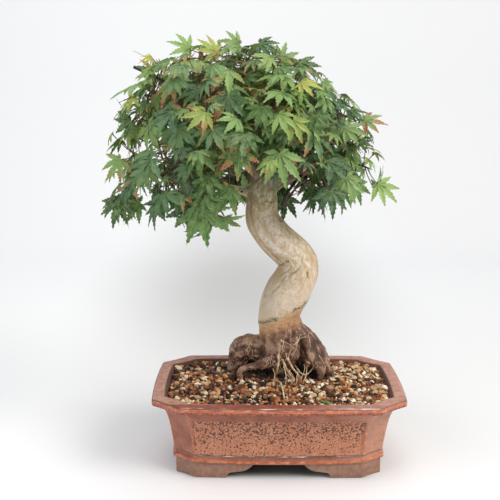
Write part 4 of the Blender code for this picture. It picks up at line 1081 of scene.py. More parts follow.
def build_thin_roots():
    pile = Pile()
    draw = random.Random(5)
    for rings in THIN_ROOTS + (CROSSING_ROOT,):
        points, radii = smooth_route(rings, 8)
        for i, point in enumerate(points):
            clear = 2.6 * MM * min(1.0, max(0.0, (-0.014 - point.y) / 0.008))
            points[i] = point + noise.noise_vector(point * 90) * 0.0007 + Vector((0, 0, clear))
            radii[i] *= 0.60 + 0.18 * draw.random()
        pile.add(*tube(points, radii, 8))
    # Hair-fine rootlets creep over the root mass.
    for _ in range(ROOTLETS):
        eye = mm(draw.uniform(-44, 52), -80, draw.uniform(100, 146)) + POT_CENTRE
        hit = wood_tree.ray_cast(eye, Vector((0, 1, 0)))
        if hit[0] is None:
            continue
        way = Vector((draw.uniform(-1, 1), 0, draw.uniform(-1.2, -0.1)))
        route = creep(hit[0] - POT_CENTRE, way, draw.uniform(10, 38), draw)
        if len(route) > 3:
            thick = draw.uniform(0.32, 0.62) * MM
            pile.add(*tube(route, [thick * (1 - 0.6 * k / len(route)) for k in range(len(route))], 5))
    # A few hang free before they reach the soil.
    for _ in range(HANGING_ROOTLETS):
        start = mm(draw.uniform(-14, 34), draw.uniform(-16, -8), draw.uniform(100, 112))
        end = start + mm(draw.uniform(-8, 8), draw.uniform(-12, -3), -draw.uniform(14, 24))
        middle = start.lerp(end, 0.5) + mm(draw.uniform(-3, 3), draw.uniform(-3, 3), draw.uniform(-1, 3))
        points, radii = bent(((start, 0.5), (middle, 0.42), (end, 0.3)), 5)
        pile.add(*tube(points, radii, 5))
    made = pile.build("thin_roots", thin_root_material())
    declare(made, "bark")


build_thin_roots()

# %% [markdown]
# ## Soil
# Bonsai soil is a sieved mix: orange-brown baked clay grains, white pumice and dark lava, 3 to 5 mm across.
# A dark bed fills the pot to its mounded level: dust, and painted shade for the deep gaps between the grains.
# Over it lie grains of the three kinds, each a small lump squeezed and dented at random, dropped on a jittered
# lattice and kept out of the wood. Painted shade makes the grains under the overhanging roots dark lava, and
# painted light puts more pale pumice and less lava towards the right. The grains on top have 42 corners each,
# and those that they half hide have 12.

# %% Soil

SOIL_EDGE_Z = 84.5
SOIL_MOUND = 7.5
SOIL_HALF = 116.4


def soil_height(x, y):
    spread = (x / 114) ** 2 + (y / 60) ** 2
    return SOIL_EDGE_Z + SOIL_MOUND * max(0.0, 1 - spread) ** 0.7


def soil_share(x, y):
    """How close to the pot's inner wall a spot is: 0 well inside, above 1 outside."""
    half = SOIL_HALF + 2.0 * max(0.0, 1 - (y / 46) ** 2)
    deep = SOIL_HALF - DEEP_LESS + 2.0 * max(0.0, 1 - (x / 92) ** 2)
    corner = (abs(x) - (half - 24.6)) / 24.6 + (abs(y) - (deep - 17.0)) / 17.0
    return max(abs(x) / half, abs(y) / deep, corner if corner > 0.6 else 0.0)


def bed_material():
    made, tree, place = new_material("soil_dust_and_gap_shade")
    dusty = put(tree, "noise", place, blobs(2.5), 5.0, 0.7)
    # The bed is near black: dust, and painted shade for the deep gaps between the grains.
    colour = put(tree, "ramp", dusty, stops=((0.35, "#130e0c"), (0.6, "#2b1d17"), (0.75, "#472f21")))
    crumbly = put(tree, "bump", put(tree, "noise", place, blobs(2.0), 4.0), 1.0 * MM, 0.8)
    put(tree, "output", put(tree, "principled", Base_Color=colour, Roughness=0.95, Normal=crumbly))
    return made


def grain_material(name, stops, rough, speckle):
    """One kind of grain: its tones vary from grain to grain and its surface is pitted."""
    made, tree, place = new_material(name)
    colour = put(tree, "ramp", put(tree, "carried", attribute_name="tint"), stops=stops)
    pits = put(tree, "noise", place, blobs(0.7), 4.0, 0.7)
    colour = put(tree, "mix", put(tree, "window", pits, 0.5, 0.7, 0.0, 0.6), colour, tone(speckle))
    put(
        tree, "output",
        put(
            tree, "principled", Base_Color=colour, Roughness=rough,
            Normal=put(tree, "bump", pits, 0.35 * MM, 0.7),
        ),
    )
    return made


def lump(fineness):
    """A rough ball of 12 or 42 corners, as arrays."""
    ball = bmesh.new()
    bmesh.ops.create_icosphere(ball, subdivisions=fineness, radius=1.0)
    corners = np.array([tuple(v.co) for v in ball.verts])
    faces = [tuple(v.index for v in face.verts) for face in ball.faces]
    ball.free()
    return corners, faces


def build_bed():
    half, deep = SOIL_HALF, SOIL_HALF - DEEP_LESS
    columns, rows = 80, 44
    corners, faces, keep = [], [], {}
    for j in range(rows + 1):
        for i in range(columns + 1):
            x = (2 * i / columns - 1) * (half + 2.5)
            y = (2 * j / rows - 1) * (deep + 2.5)
            z = soil_height(x, y) - 1.8 + 0.9 * noise.noise(Vector((x, y, 0)) * 0.4)
            keep[i, j] = len(corners)
            corners.append(mm(x, y, z))
    for j in range(rows):
        for i in range(columns):
            x = (2 * (i + 0.5) / columns - 1) * (half + 2.5)
            y = (2 * (j + 0.5) / rows - 1) * (deep + 2.5)
            if soil_share(x, y) < 1.03:
                faces.append((keep[i, j], keep[i + 1, j], keep[i + 1, j + 1], keep[i, j + 1]))
    bed = build_mesh("soil_bed", corners, faces, bed_material())
    declare(bed, "soil_grains", "soil")


def turned(shape, turn, tip):
    """A shape's corners tipped over and then turned about the upright."""
    c, s, u, v = math.cos(turn), math.sin(turn), math.cos(tip), math.sin(tip)
    tipped = shape @ np.array([[1, 0, 0], [0, u, v], [0, -v, u]])
    return tipped @ np.array([[c, s, 0], [-s, c, 0], [0, 0, 1]])


# Each kind of grain: its material, its tones from dark to light, its roughness and the tone of its specks.
GRAIN_KINDS = {
    "baked_clay_grains": (
        "baked_clay_grain", ((0.0, "#54301f"), (0.35, "#8a5030"), (0.7, "#b5733f"), (1.0, "#d8a56f")),
        0.8, "#54301c",
    ),
    "pumice_grains": (
        "pumice_grain", ((0.0, "#a0815f"), (0.4, "#d0b48c"), (0.75, "#edd9b6"), (1.0, "#fbf4e4")),
        0.75, "#9c835f",
    ),
    "lava_grains": (
        "lava_grain", ((0.0, "#1b1210"), (0.5, "#3d2820"), (0.8, "#66432f"), (1.0, "#8a684f")),
        0.85, "#1c1311",
    ),
}
# Two layers: how fine the lumps are, the lattice's pitch, and how high they lie.
GRAIN_LAYERS = ((1, 3.9, -0.9), (2, 4.6, 0.5))
GRAIN_SQUEEZE = ((0.75, 1.5), (0.6, 1.05), (0.5, 0.95))


def lay_grains():
    kinds = {name: grain_material(*look) for name, look in GRAIN_KINDS.items()}
    piles = {name: Pile() for name in kinds}
    draw = random.Random(11)
    rng = np.random.default_rng(11)
    count = 0
    for fineness, pitch, lift in GRAIN_LAYERS:
        ball, ball_faces = lump(fineness)
        rows = int(130 / (pitch * 0.87))
        for j in range(-rows // 2, rows // 2 + 1):
            for i in range(-34, 35):
                x = (i + 0.5 * (j % 2)) * pitch + draw.uniform(-1.1, 1.1)
                y = j * pitch * 0.87 + draw.uniform(-1.1, 1.1)
                if fineness > 1 and draw.random() < 0.25:
                    continue
                size = draw.uniform(1.3, 2.6) if draw.random() < 0.8 else draw.uniform(2.4, 3.6)
                if soil_share(x, y) > 1.0 - 0.008 * size:
                    continue
                z = soil_height(x, y) + lift + draw.uniform(-0.6, 0.6)
                spot = mm(x, y, z)
                near, _, _, far = wood_tree.find_nearest(spot + POT_CENTRE, 0.012)
                if near is not None and far < (size * 0.75) * MM:
                    continue
                above = wood_tree.ray_cast(spot + POT_CENTRE, Vector((0, 0, 1)), 0.045)
                if above[0] is not None and above[1].z > 0:
                    continue
                # Painted shade: grains under the overhanging roots are all dark lava, and darker still.
                under_roots_shade = above[0] is not None and y > -5
                # Painted light: towards the right there is more pale pumice and less dark lava, as the light
                # falls from the right.
                weights = 0.42, 0.27 + 0.0012 * x, 0.31 - 0.0012 * x
                kind = "lava_grains" if under_roots_shade else draw.choices(tuple(kinds), weights)[0]
                squeeze = np.array([draw.uniform(*span) for span in GRAIN_SQUEEZE])
                dents = 1 + rng.uniform(-0.28, 0.24, len(ball))
                shape = ball * dents[:, None] * squeeze * size * MM
                shape = turned(shape, draw.uniform(0, 6.28), draw.uniform(-0.7, 0.7))
                tint = draw.random() * (0.45 if under_roots_shade else 1.0)
                piles[kind].add(shape + np.array(spot), ball_faces, tint=tint)
                count += 1
    for name, pile in piles.items():
        made = pile.build(name, kinds[name])
        made.data.shade_flat()
        declare(made, "soil_grains")
    print("grains laid:", count)


build_bed()
lay_grains()

# %% [markdown]
# ## Training wires and drainage meshes
# Annealed aluminium wire with a black coating holds two low limbs and one high one in their bends. The coils
# follow the plain solids exactly, with more sides. The plastic meshes under the soil keep their plain solid
# and only get a finish.

# %% Wires and meshes

WIRE_RADIUS = 1.6
GAP = 0.0003


def coil(rings, start, finish, turns, begin_angle, lead, tail, per_turn, clear):
    """The route of a wire wound round a branch from start to finish along it, with loose ends."""
    points, radii = smooth_route(rings, 8)
    count = int(turns * per_turn)
    route = [mm(*p) for p in lead]
    side = (points[1] - points[0]).orthogonal().normalized()
    for k in range(count + 1):
        share = start + (finish - start) * k / count
        spot = share * (len(points) - 1)
        i = min(int(spot), len(points) - 2)
        centre = points[i].lerp(points[i + 1], spot - i)
        ahead = (points[i + 1] - points[i]).normalized()
        side = (side - ahead * side.dot(ahead)).normalized()
        across = ahead.cross(side)
        angle = begin_angle + 2 * math.pi * turns * k / count
        away = clear(radii[i])
        route.append(centre + (side * math.cos(angle) + across * math.sin(angle)) * away)
    route += [mm(*p) for p in tail]
    return route


def wire_material():
    made, tree, place = new_material("black_annealed_aluminium")
    dusty = put(tree, "noise", place, blobs(5.0), 4.0)
    colour = put(tree, "ramp", dusty, stops=((0.3, "#161412"), (0.7, "#34302c")))
    rough = put(tree, "window", put(tree, "noise", place, blobs(1.5), 3.0), 0.3, 0.7, 0.32, 0.55)
    put(
        tree, "output",
        put(
            tree, "principled", Base_Color=colour, Metallic=0.35, Roughness=rough,
            Normal=put(tree, "bump", dusty, 0.1 * MM, 0.3),
        ),
    )
    return made


def net_material():
    made, tree, place = new_material("mesh_plastic")
    dusty = put(tree, "noise", place, blobs(2.0), 3.0)
    put(
        tree, "output",
        put(
            tree, "principled",
            Base_Color=put(tree, "ramp", dusty, stops=((0.3, "#1d1d1d"), (0.7, "#3a3733"))),
            Roughness=0.6,
        ),
    )
    return made


def plain_coil(*winding):
    """The wire as the plain solid has it."""
    route = coil(*winding, 7, lambda radius: (radius + WIRE_RADIUS * MM * 1.04 + GAP) / math.cos(math.pi / 7))
    return tube(route, [WIRE_RADIUS * MM] * len(route), 5)


limbs = dict(BRANCHES)
WIRES = (
    ("wire_left", limbs["left"], 0.25, 0.43, 3, 0.5, (), ()),
    ("wire_right", limbs["right"], 0.42, 0.85, 3, 2.6, ((2, -13.5, 284), (8, -10.5, 298)), ()),
    ("wire_upper_left", limbs["upper_left"], 0.52, 0.97, 3, 0.4, (), ((-118, -18, 410), (-146, -20, 423))),
)
black = wire_material()
for name, *winding in WIRES:
    route = coil(*winding, 28, lambda radius: radius + WIRE_RADIUS * MM + GAP)
    corners, faces = tube(route, [WIRE_RADIUS * MM] * len(route), 12)
    made = build_mesh("coil_" + name, corners, faces, black)
    declare(made, "black_wire", name)
net = net_material()
for name in ("drain_mesh_left", "drain_mesh_right"):
    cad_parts[name].data.materials.clear()
    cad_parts[name].data.materials.append(net)

# %% [markdown]
# ## Where the leaves hang
# The plain solids placed their leaves by rule: feature leaves that face the viewer, then an even spread of
# spots over a leaning dome, each joined by a stalk to the nearest free place on its own spray's twigs, and
# each kept clear of all that was placed before. The same rule is repeated here step by step, so that every
# fine leaf lies where its plain one does. After them come smaller leaves that fill the spaces between, fewer
# at the crown's left and top, and then a few dry ends that stick out at the left.

# %% Leaf places

SEED = 46
SPRAY_CENTRES = {
    "left": (-162, -15, 316), "front_left": (-112, -80, 328), "front": (-46, -106, 330),
    "front_right": (34, -90, 334), "right": (96, -20, 322), "back_right": (56, 76, 334),
    "back": (-28, 108, 334), "back_left": (-116, 76, 334), "upper_left": (-134, -14, 400),
    "upper_front_left": (-84, -66, 404), "upper_front": (-4, -74, 400), "upper_right": (48, -4, 396),
    "upper_back_right": (4, 68, 402), "upper_back_left": (-88, 66, 404), "top_left": (-84, 0, 443),
    "top_back": (-42, 46, 433), "top_front": (-34, -42, 434), "top": (-20, 2, 446),
}
TOP_SPRAY = "top"
CROWN_CENTRE = (-38, 0, 330)
CROWN_HALF = (134, 114)
CROWN_UP = 122
CROWN_DOWN = 84
LEAN_UP = 0.16
LEAN_DOWN = 0.5
SHOULDER = 2.1
LEAF_DIRECTIONS = 127
LOWEST_DIRECTION = -0.62
INNER_SHARE = 0.2
TWIG_RADIUS = 1.7
TWIG_TIP_RADIUS = 1.25
TWIG_REACH = 34.0
STUB = 5.0
NODE_STEP = 2.6
PETIOLE_RADIUS = 0.65
LEAF_HALF = (
    (12, 0.60), (19, 0.33), (26.5, 0.56), (38, 0.93), (49.5, 0.54), (58, 0.29),
    (66.5, 0.43), (78, 0.74), (90, 0.40), (101, 0.21), (124, 0.40),
)
LEAF_BASE_REACH = 0.07
BLADE_HALF = 0.95
FEATURE_LEAVES = (
    (-97, -88, 368, -2, -27, 29), (-74, -98, 360, 2, -19, 25), (-51, -84, 397, 1, -32, 33),
    (-40, -107, 349, -1, -28, 30), (-8, -103, 345, 7, -44, 42), (-19, -92, 388, -9, -22, 25),
    (8, -94, 376, 8, -20, 25), (34, -79, 381, 4, -14, 24), (59, -83, 323, 10, -26, 29),
    (95, -45, 311, 16, -13, 27), (44, -92, 311, 4, -26, 28), (-147, -40, 371, -20, -8, 26),
    (-158, -42, 334, -14, -18, 27), (-130, -78, 329, 3, -22, 25), (-78, -97, 297, 12, -43, 43),
    (-42, -8, 445, -14, 5, 24), (-22, -6, 446, 17, -6, 26), (17, -34, 427, 18, -12, 27),
    (59, -60, 366, 16, -2, 26), (-160, -50, 294, -9, -25, 29), (-116, -86, 296, -21, -12, 27),
    (82, -30, 372, 18, -2, 24), (98, 0, 300, 18, -4, 28), (-128, -20, 421, -16, 8, 24),
    (-92, -8, 441, -12, 6, 24), (-64, -16, 437, -8, 6, 24), (2, -12, 437, 14, 8, 24),
)
WINDOW = (-50, 48, 297)
# The golden angle spreads directions evenly over a ball.
GOLDEN = math.pi * (3 - math.sqrt(5))

# %% [markdown]
# The plain leaf is a closed fan with seven lobes. Only its shape matters here: it is what the rule tests for
# room, and swollen a little it keeps a clearance.

# %% The placing rule, step by step


def plain_leaf(base, ahead, normal, length, droop, root, fat=0.0):
    """The plain leaf and its stalk, or a swollen one for a clearance test."""
    right = ahead.cross(normal).normalized()
    outline = [(-angle, reach) for angle, reach in reversed(LEAF_HALF)] + [(0, 1.0)]
    outline += list(LEAF_HALF) + [(180, LEAF_BASE_REACH)]
    corners = [base + normal * (BLADE_HALF * MM + fat)]
    flat = []
    for angle, reach in outline:
        radius = reach * length + fat * 1.5
        turn = math.radians(angle)
        sink = droop * reach * reach * length
        aside, forth = right * (radius * math.sin(turn)), ahead * (radius * math.cos(turn))
        flat.append(base + aside + forth - normal * sink)
    stalk = (root - base).normalized()
    faces = []
    count = len(outline)
    if fat:
        corners += [p + normal * fat for p in flat] + [p - normal * fat for p in flat]
        corners.append(base - normal * (BLADE_HALF * MM + fat))
        for i in range(count):
            a, b = 1 + i, 1 + (i + 1) % count
            faces += [(0, b, a), (a, b, b + count, a + count), (2 * count + 1, a + count, b + count)]
        stem = tube([root - stalk * 0.003, base], [PETIOLE_RADIUS * MM + fat] * 2, 3)
        faces += [tuple(k + len(corners) for k in face) for face in stem[1]]
        return corners + stem[0], faces
    corners += flat
    first = len(corners)
    wide = PETIOLE_RADIUS * MM
    spokes = [right * math.sin(t) + ahead * math.cos(t) for t in (math.radians(a) for a in (0, 120, 240))]
    corners += [base - normal * BLADE_HALF * MM + spoke * wide for spoke in spokes]
    for spoke in spokes:
        corners.append(root + (spoke - stalk * spoke.dot(stalk)).normalized() * wide)

    def nearest(i):
        middle = (outline[i][0] + outline[(i + 1) % count][0]) / 2 if i < count - 1 else 208
        return min(range(3), key=lambda k: abs((middle - 120 * k + 180) % 360 - 180))

    for i in range(count):
        a, b = 1 + i, 1 + (i + 1) % count
        ring, after = nearest(i), nearest((i + 1) % count)
        faces += [(0, b, a), (first + ring, a, b)]
        if after != ring:
            faces.append((first + ring, b, first + after))
    for k in range(3):
        after = (k + 1) % 3
        near, far, along = first + k, first + 3 + after, first + after
        faces += [(near, along, far), (near, far, first + 3 + k)]
    faces.append((first + 3, first + 4, first + 5))
    return corners, faces


def span_of(corners):
    """The lowest and the highest corner of the box round some corners."""
    return [Vector([pick(c[k] for c in corners) for k in range(3)]) for pick in (min, max)]


class Placed:
    """Shapes already placed, to keep the next one clear of them."""

    def __init__(self):
        self.items = []

    def add(self, shape, owner):
        low, high = span_of(shape[0])
        self.items.append((low, high, BVHTree.FromPolygons(shape[0], shape[1]), owner))

    def hits(self, shape, skip=None):
        low, high = span_of(shape[0])
        tree = None
        for other_low, other_high, other, owner in self.items:
            if owner == skip:
                continue
            if any(low[k] > other_high[k] or high[k] < other_low[k] for k in range(3)):
                continue
            tree = tree or BVHTree.FromPolygons(shape[0], shape[1])
            if tree.overlap(other):
                return True
        return False


def crown_point(direction, share):
    up = CROWN_UP if direction.z > 0 else CROWN_DOWN
    lean = LEAN_UP if direction.z > 0 else LEAN_DOWN
    if direction.z > 0:
        direction = direction / sum(abs(v) ** SHOULDER for v in direction) ** (1 / SHOULDER)
    z = direction.z * up
    x = direction.x * CROWN_HALF[0] - lean * abs(z)
    return (Vector(CROWN_CENTRE) + Vector((x, direction.y * CROWN_HALF[1], z)) * share) * MM


def outward(point):
    away = point / MM - Vector(CROWN_CENTRE)
    halves = (*CROWN_HALF, CROWN_UP)
    return Vector([away[k] / halves[k] ** 2 for k in range(3)]).normalized()


def lay_leaf(spot, roll, draw):
    """How a leaf hangs at a spot: it faces up and out, and its tip points out and down."""
    out = outward(spot)
    facing = (out * 0.7 + Vector((0, 0, 0.75)) + shake(draw, 0.28)).normalized()
    hang = 1.1 if spot.z < 0.32 else 0.55
    ahead = Vector((out.x, out.y, 0)) * 0.9 + Vector((0, 0, -hang)) + shake(draw, 0.35)
    ahead = ahead - facing * ahead.dot(facing)
    ahead.normalize()
    side = ahead.cross(facing)
    return facing, (ahead * math.cos(roll) + side * math.sin(roll)).normalized()


def leaf_targets():
    """Where leaves are wanted: feature leaves first, then an even spread over the crown."""
    draw = random.Random(SEED + 1)
    wanted = []
    for x, y, z, dx, dz, length in FEATURE_LEAVES:
        ahead = Vector((dx, -0.25 * math.hypot(dx, dz), dz)).normalized()
        facing = Vector((0.12 * dx / length, -0.8, 0.62))
        facing = (facing - ahead * facing.dot(ahead)).normalized()
        wanted.append((mm(x, y, z), ahead, facing, length * MM, 0.12))
    for i in range(LEAF_DIRECTIONS):
        height = 1 - (i + 0.5) / LEAF_DIRECTIONS * (1 - LOWEST_DIRECTION)
        flat = math.sqrt(1 - height * height)
        turn = GOLDEN * i + draw.uniform(-0.15, 0.15)
        direction = Vector((flat * math.cos(turn), flat * math.sin(turn), height))
        inner = draw.random() < INNER_SHARE
        share = draw.uniform(0.62, 0.74) if inner else draw.uniform(0.84, 0.95)
        spot = crown_point(direction, share)
        length = draw.uniform(28, 36) * MM
        roll = draw.uniform(-0.5, 0.5)
        facing, ahead = lay_leaf(spot, roll, draw)
        wanted.append((spot, ahead, facing, length, draw.uniform(0.1, 0.3)))
    return wanted


def in_window(base, ahead, length, wider=0.0):
    """If a leaf would hang in front of the trunk's head, or near it where the bare limbs show."""
    for p in (base, base + ahead * length):
        high = (WINDOW[2] + wider) * MM + 0.14 * abs(p.y)
        if p.y < 0 and (WINDOW[0] - wider) * MM < p.x < WINDOW[1] * MM and p.z < high:
            return True
        if wider and p.y > 0 and 0.010 < p.x < 0.060 and p.z < 0.300:
            return True
    return False


def twig_nodes(a, b, first=False, step=NODE_STEP):
    """Places along a stretch of twig where a stalk or a side twig can leave it."""
    span = b - a
    count = max(1, int(span.length / (step * MM)))
    low = 0.4 if first else 0.0
    return [a + span * ((k + 0.5) / count) for k in range(count) if (k + 0.5) / count > low]


FAR_OFF = Vector((9, 9, 9))


def closest(nodes, point):
    spot = min(nodes, key=lambda node: (node - point).length, default=FAR_OFF)
    return spot, (spot - point).length


def owner_of(spot):
    return min(SPRAY_CENTRES, key=lambda key: (mm(*SPRAY_CENTRES[key]) - spot).length)


def grow_twigs(placed, wanted):
    """Each spray's main twig, then side twigs to the leaves that are too far from it."""
    ends = {name: branch_route(rings) for name, rings in BRANCHES}
    ends[TOP_SPRAY] = smooth_route(TRUNK, 1)
    sprays = {}
    for name, (route, radii) in ends.items():
        away = (route[-1] - route[-2]).normalized()
        start = route[-1] + away * GAP
        stub = start + away * STUB * MM
        centre = mm(*SPRAY_CENTRES[name])
        middle = stub.lerp(centre, 0.4) + away * 0.003
        tip = stub.lerp(centre, 0.76)
        radius = radii[-1] * 0.8
        line = ([start, stub, middle, tip], [radius, radius * 0.9, 2.1 * MM, 1.4 * MM])
        nodes = twig_nodes(stub, middle, first=True) + twig_nodes(middle, tip)
        sprays[name] = {"nodes": nodes, "twigs": [line], "leaves": []}
        placed.add(tube(*line, 4), name)
    owners = [owner_of(item[0]) for item in wanted]
    order = sorted(range(len(wanted)), key=lambda k: closest(sprays[owners[k]]["nodes"], wanted[k][0])[1])
    for k in order:
        spray = sprays[owners[k]]
        spot, far = closest(spray["nodes"], wanted[k][0])
        if far <= TWIG_REACH * MM:
            continue
        goal = wanted[k][0] - wanted[k][2] * 0.008
        tip = spot.lerp(goal, 1 - 0.5 * TWIG_REACH * MM / far)
        radii = [TWIG_RADIUS * MM, TWIG_TIP_RADIUS * MM]
        if placed.hits(tube([spot.lerp(tip, 0.2), tip], [r + 0.0006 for r in radii], 4), owners[k]):
            continue
        spray["nodes"].remove(spot)
        spray["nodes"] += twig_nodes(spot, tip, first=True)
        spray["twigs"].append(([spot, tip], radii))
        placed.add(tube([spot, tip], radii, 4), owners[k])
    return sprays, owners


def try_leaf(placed, spray, base, way, face, size, droop, fat, reach=0.046, share=1.0, wider=0.0):
    """Hangs one leaf from the nearest free place, if it, or that share of it, clears everything."""
    root, far = closest(spray["nodes"], base)
    if far < 0.005 or far > reach:
        return False
    stalk = (root - base).normalized()
    if stalk.dot(face) > -0.25:
        face = (face - stalk * (stalk.dot(face) + 0.3)).normalized()
    if stalk.dot(way) > 0.3:
        way = way - stalk * (stalk.dot(way) - 0.2)
    way = (way - face * way.dot(face)).normalized()
    if stalk.dot(face) > -0.15 or in_window(base, way, size, wider):
        return False
    if placed.hits(plain_leaf(base, way, face, size * share, droop, root, fat), "none"):
        return False
    spray["nodes"].remove(root)
    spray["leaves"].append((base, way, face, size, droop, root))
    placed.add(plain_leaf(base, way, face, size * share, droop, root), "leaf")
    return True


def place_leaves(placed, sprays, owners, wanted):
    draw = random.Random(SEED + 2)
    fitted = 0
    for index, (spot, ahead, facing, length, droop) in enumerate(wanted):
        spray = sprays[owners[index]]
        for attempt in range(16):
            base, size = spot, length
            way, face = ahead, facing
            if attempt:
                base = spot + shake(draw, 0.0025 + 0.0007 * attempt)
                size = length * draw.uniform(0.84, 1.0)
                if index < len(FEATURE_LEAVES):
                    face = (facing + shake(draw, 0.2)).normalized()
                    way = (ahead - face * ahead.dot(face)).normalized()
                else:
                    face, way = lay_leaf(base, draw.uniform(-0.7, 0.7), draw)
            if try_leaf(placed, spray, base, way, face, size, droop, 0.0006):
                fitted += 1
                break
    print("leaves fitted", fitted, "of", len(wanted))


def wood_shapes():
    shapes = [tube(*smooth_route(TRUNK, 1), 11)]
    for rings in ROOTS:
        shapes.append(tube(*smooth_route(rings, 1), 7))
    for rings in THIN_ROOTS:
        shapes.append(tube(*smooth_route(rings, 1), 5))
    for _, rings in BRANCHES:
        shapes.append(tube(*branch_route(rings), 6))
    return shapes


# How many spots to try, down to what height, how far out, the leaves' sizes, and how much of a leaf must be
# clear of all that is there.
FILL_ROUNDS = (
    (1200, -0.80, 0.50, 0.99, 20, 31, 0.90),
    (800, 0.30, 0.70, 1.00, 17, 28, 0.82),
    (1500, -0.35, 0.62, 1.02, 13, 21, 0.78),
)
# The crown is more open at its left and its top: from where, and how many places stay empty there.
OPEN_LEFT = -100
OPEN_LEFT_SHARE = 0.84
OPEN_TOP = 404
OPEN_TOP_SHARE = 0.6
# Dry ends and lone leaves at the crown's left: x, y, z, leaf length (0 for none), tint and scorch.
STRAY_ENDS = (
    (-113.9, -30, 443.6, 7, 0.5, 2.0), (-104.4, -30, 434.2, 9, 0.5, 2.0), (-94.5, -30, 448.3, 0, 0, 0),
    (-85.2, -30, 420, 8, 0.5, 2.0), (-120.3, -20, 423.8, 9, 0.5, 2.0), (-103.7, -30, 418.1, 8, 0.5, 2.0),
    (-126.8, -30, 432.2, 11, 1.0, 0.2), (-98.7, -30, 429.5, 12, 0.4, 2.0), (-123.7, -20, 448.5, 0, 0, 0),
    (-143.6, -20, 437.1, 0, 0, 0), (-160.2, -30, 389.2, 0, 0, 0), (-148.3, -30, 394, 5, 1.0, 0.0),
    (-139, -30, 372, 9, 0.4, 2.0), (-150, -26, 352, 8, 0.5, 2.0), (-60, -60, 434, 8, 0.5, 2.0),
)
# A stray end that would be longer than this is left out.
STRAY_REACH = 0.12


def spare_places(spray):
    """Every place along a spray's twigs that no stalk has taken yet."""
    taken = [leaf[5] for leaf in spray["leaves"]]
    places = []
    for points, _ in spray["twigs"]:
        for a, b in zip(points, points[1:]):
            places += twig_nodes(a, b, a is points[0], 1.5)
    return [place for place in places if all((place - root).length > 0.0011 for root in taken)]


def empty_share(spot):
    """The share of places that stay empty at a spot."""
    if spot.x < OPEN_LEFT * MM:
        return OPEN_LEFT_SHARE
    return OPEN_TOP_SHARE if spot.z > OPEN_TOP * MM else 0.0


def fill_between(placed, sprays):
    """Smaller leaves in the spaces between, from the twigs' spare places or from new twiglets."""
    draw = random.Random(SEED + 9)
    for tries, lowest, nearest, furthest, smallest, largest, share in FILL_ROUNDS:
        fitted = 0
        for spray in sprays.values():
            spray["nodes"] = spare_places(spray)
        for i in range(tries):
            height = 1 - (i + 0.5) / tries * (1 - lowest)
            flat = math.sqrt(1 - height * height)
            turn = GOLDEN * i * 1.7 + draw.uniform(-0.2, 0.2)
            direction = Vector((flat * math.cos(turn), flat * math.sin(turn), height))
            spot = crown_point(direction, draw.uniform(nearest, furthest))
            if draw.random() < empty_share(spot):
                continue
            spray = sprays[owner_of(spot)]
            size = draw.uniform(smallest, largest) * MM
            root, far = closest(spray["nodes"], spot)
            if 0.026 < far < 1:
                grow_twiglet(placed, spray, owner_of(spot), root, far, spot)
            for attempt in range(6):
                base = spot + shake(draw, 0.001 + 0.0014 * attempt)
                face, way = lay_leaf(base, draw.uniform(-1.1, 1.1), draw)
                face = (face + shake(draw, 0.5)).normalized()
                droop = draw.uniform(0.1, 0.35)
                size *= 0.96
                if try_leaf(placed, spray, base, way, face, size, droop, 0.0001, 0.034, share, 16):
                    fitted += 1
                    break
        print("leaves between", fitted)


def grow_twiglet(placed, spray, owner, root, far, spot):
    """A thin side twig towards a spot, if nothing is in its way."""
    tip = root.lerp(spot - outward(spot) * 0.008, 1 - 0.014 / far)
    thin = tube([root.lerp(tip, 0.15), tip], [0.0010, 0.0008], 4)
    if in_window(root, (tip - root).normalized(), (tip - root).length) or placed.hits(thin, "none"):
        return
    spray["nodes"].remove(root)
    spray["nodes"] += twig_nodes(root, tip, True, 1.7)
    spray["twigs"].append(([root, tip], [0.0009, 0.0006]))
    placed.add(thin, owner)


def grow_stray_ends(sprays):
    """Hair-thin red stalks out of the crown's left, some with a small dry or yellow leaf."""
    draw = random.Random(SEED + 21)
    for x, y, z, length, tint, scorch in STRAY_ENDS:
        tip = mm(x, y, z)
        spray = sprays[owner_of(tip)]
        root, far = closest(spare_places(spray), tip)
        if far > STRAY_REACH:
            continue
        middle = root.lerp(tip, 0.5) + shake(draw, 0.1 * min(far, 0.05))
        points, radii = bent(((root, 0.6), (middle, 0.45), (tip, 0.32)), 4)
        spray["twigs"].append((points, radii))
        if length:
            way = ((tip - middle).normalized() + shake(draw, 0.6)).normalized()
            face = Vector((0.2, -0.9, 0.4)) + shake(draw, 0.5)
            face = (face - way * face.dot(way)).normalized()
            droop = draw.uniform(0.5, 1.1)
            spray["leaves"].append((tip, way, face, length * MM, droop, middle, tint, scorch))


def plan_crown():
    placed = Placed()
    for shape in wood_shapes():
        placed.add(shape, "wood")
    for _, *winding in WIRES:
        placed.add(plain_coil(*winding), "wire")
    wanted = leaf_targets()
    sprays, owners = grow_twigs(placed, wanted)
    place_leaves(placed, sprays, owners, wanted)
    fill_between(placed, sprays)
    grow_stray_ends(sprays)
    return sprays


sprays = plan_crown()

# %% [markdown]
# ## Maple leaves and twigs
# Each fine leaf has seven slender lobes with saw-toothed edges, drawn half lobe by half lobe: a strip from
# the lobe's rib to its margin, so that the blade can fold along its ribs. Corners carry how far they are
# along the lobe and across it, which the material reads for veins, paler ribs and scorched tips. Twigs
# get swellings at their joints, and stalks are red-brown towards the twig.

# %% Leaf and twig surfaces


